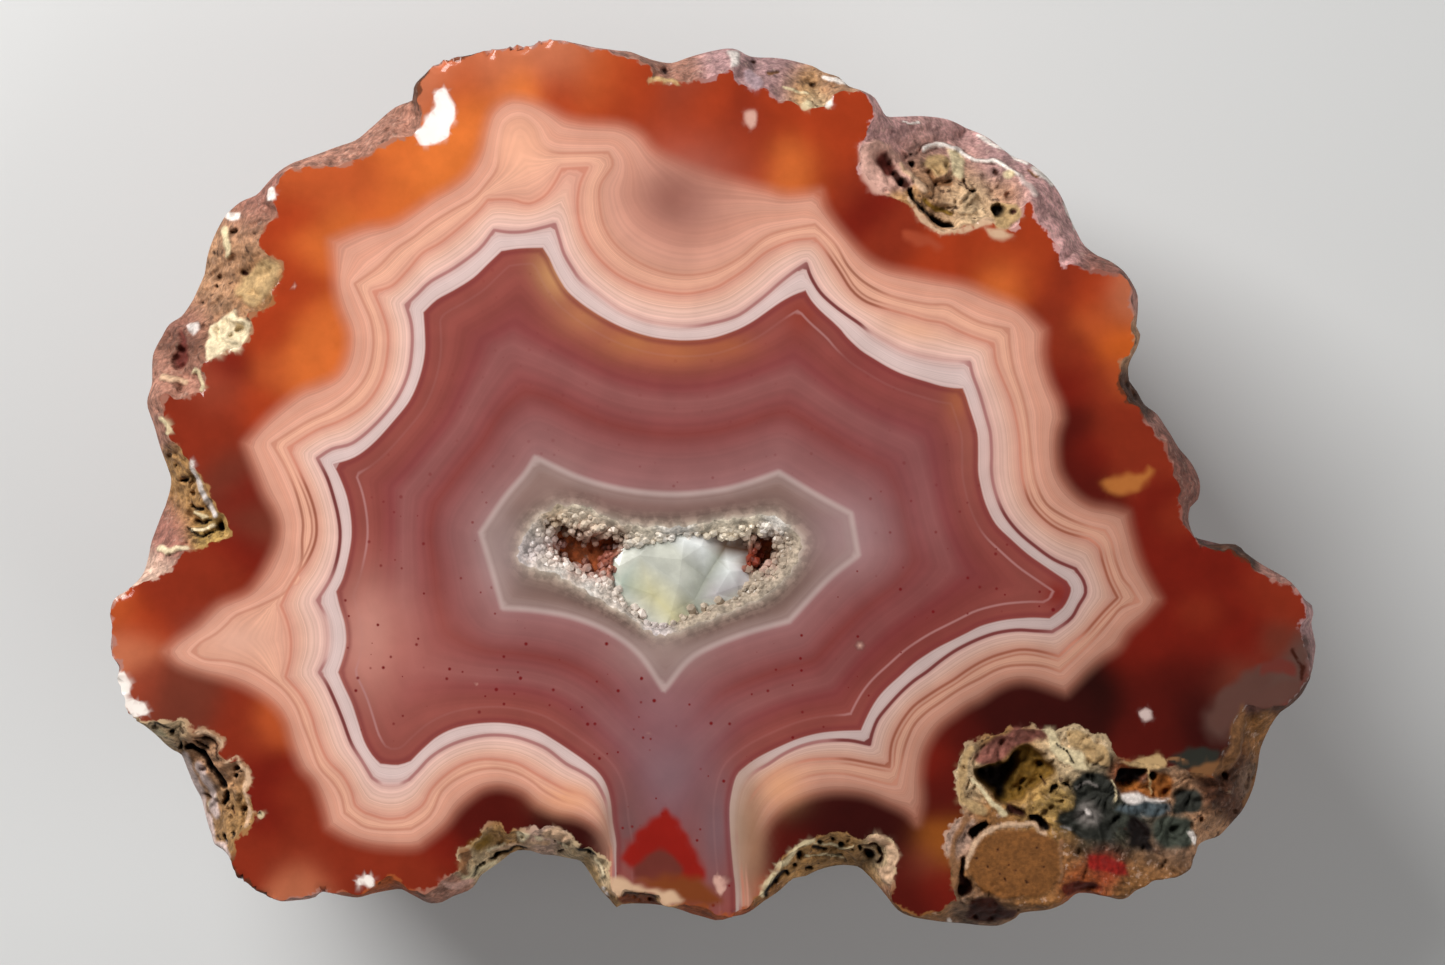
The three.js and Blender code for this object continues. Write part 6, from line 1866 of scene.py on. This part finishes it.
CRYSTAL_PEAKS = [
    (-7.1, -6.1, 0.9, "milk"), (-6.9, -7.4, 0.8, "green"), (-5.6, -5.3, 0.9, "milk"),
    (-2.2, -4.1, 0.5, "glint"), (-0.9, -4.6, 0.6, "glint"), (-2.4, -5.6, 0.5, "milk"),
    (-2.6, -7.4, 0.6, "milk"), (-3.2, -9.6, 0.8, "cream"), (-4.6, -8.2, 0.7, "cream"),
    (-6, -8.9, 1, "milk"), (-5, -10, 0.9, "milk"), (0.3, -5.6, 1.1, "grey"), (-0.6, -7, 1.2, "grey"),
    (1, -5.7, 1.3, "glint"), (1.2, -6.5, 0.8, "glint"), (2.1, -6.5, 1.1, "lilac"),
    (1.8, -7.6, 0.9, "lilac"), (0.2, -8.2, 1, "lilac"), (-1.4, -8.6, 1, "grey"), (0.9, -4.6, 1.5, "brown"),
]
CRYSTAL_FOOT = 7.5


def big_crystals():
    """The big pale crystal in the middle of the hollow, one faceted mass."""
    places = CRYSTAL_RIM + CRYSTAL_PEAKS
    plan = [Vector(place[:2]) for place in places]
    count = len(CRYSTAL_RIM)
    ring = [(i, (i + 1) % count) for i in range(count)]
    _, _, facets, _, _, _ = delaunay_2d_cdt(plan, ring, [], 1, MERGE_DISTANCE)
    vertices = [(x, y, FACE - depth) for x, y, depth, _ in places]
    foot = len(vertices)
    vertices += [(x, y, FACE - CRYSTAL_FOOT) for x, y, _, _ in CRYSTAL_RIM]
    faces = [tuple(facet) for facet in facets]
    faces += [(j, foot + j, foot + i, i) for i, j in ring]
    faces.append(tuple(range(foot, foot + count)))
    obj = new_mesh("big_crystals", vertices, faces)
    colours = [linear(MILKY_COLOURS[place[3]]) for place in places + CRYSTAL_RIM]
    set_colours(obj.data, "tone", np.array(colours))
    obj.data.materials.append(clear_material())
    return obj


def floor():
    """A plain pale floor."""
    corners = [(FLOOR_REACH * x, FLOOR_REACH * y, 0) for x, y in ((-1, -1), (1, -1), (1, 1), (-1, 1))]
    obj = new_mesh("floor", corners, [(0, 1, 2, 3)])
    graph = Graph("floor")
    obj.data.materials.append(graph.finish(Base_Color=FLOOR_COLOUR, Roughness=0.9))


def soft_light(name, place, size, watts):
    """A square light that faces the stone."""
    data = bpy.data.lights.new(name, "AREA")
    data.size = size * MM
    data.energy = watts
    obj = bpy.data.objects.new(name, data)
    obj.location = Vector(place) * MM
    obj.rotation_euler = (Vector((0, 0, FACE)) * MM - obj.location).to_track_quat("-Z", "Y").to_euler()
    bpy.context.scene.collection.objects.link(obj)


def studio():
    """The floor, the lights and the camera."""
    floor()
    soft_light("key_light", *KEY_LIGHT)
    soft_light("fill_light", *FILL_LIGHT)
    world = bpy.data.worlds.new("world")
    world.use_nodes = True
    background = world.node_tree.nodes["Background"]
    background.inputs["Color"].default_value = (1, 1, 1, 1)
    background.inputs["Strength"].default_value = WORLD_LIGHT
    scene = bpy.context.scene
    scene.world = world
    scene.view_settings.view_transform = "Standard"
    lens = bpy.data.cameras.new("camera")
    lens.lens = LENS_MM
    lens.sensor_width = SENSOR_MM
    camera = bpy.data.objects.new("camera", lens)
    camera.location = Vector(CAMERA_PLACE) * MM
    scene.collection.objects.link(camera)
    scene.camera = camera


def main():
    """Builds the pieces and the studio."""
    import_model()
    noise.seed_set(NOISE_SEED)
    outlines = Outlines()
    stone = agate_stone(outlines)
    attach(stone, "root")
    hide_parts("agate_stone")
    for piece in (crust(outlines), big_crystals()):
        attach(piece, "root")
        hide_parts("crystal_crust")
    studio()


main()
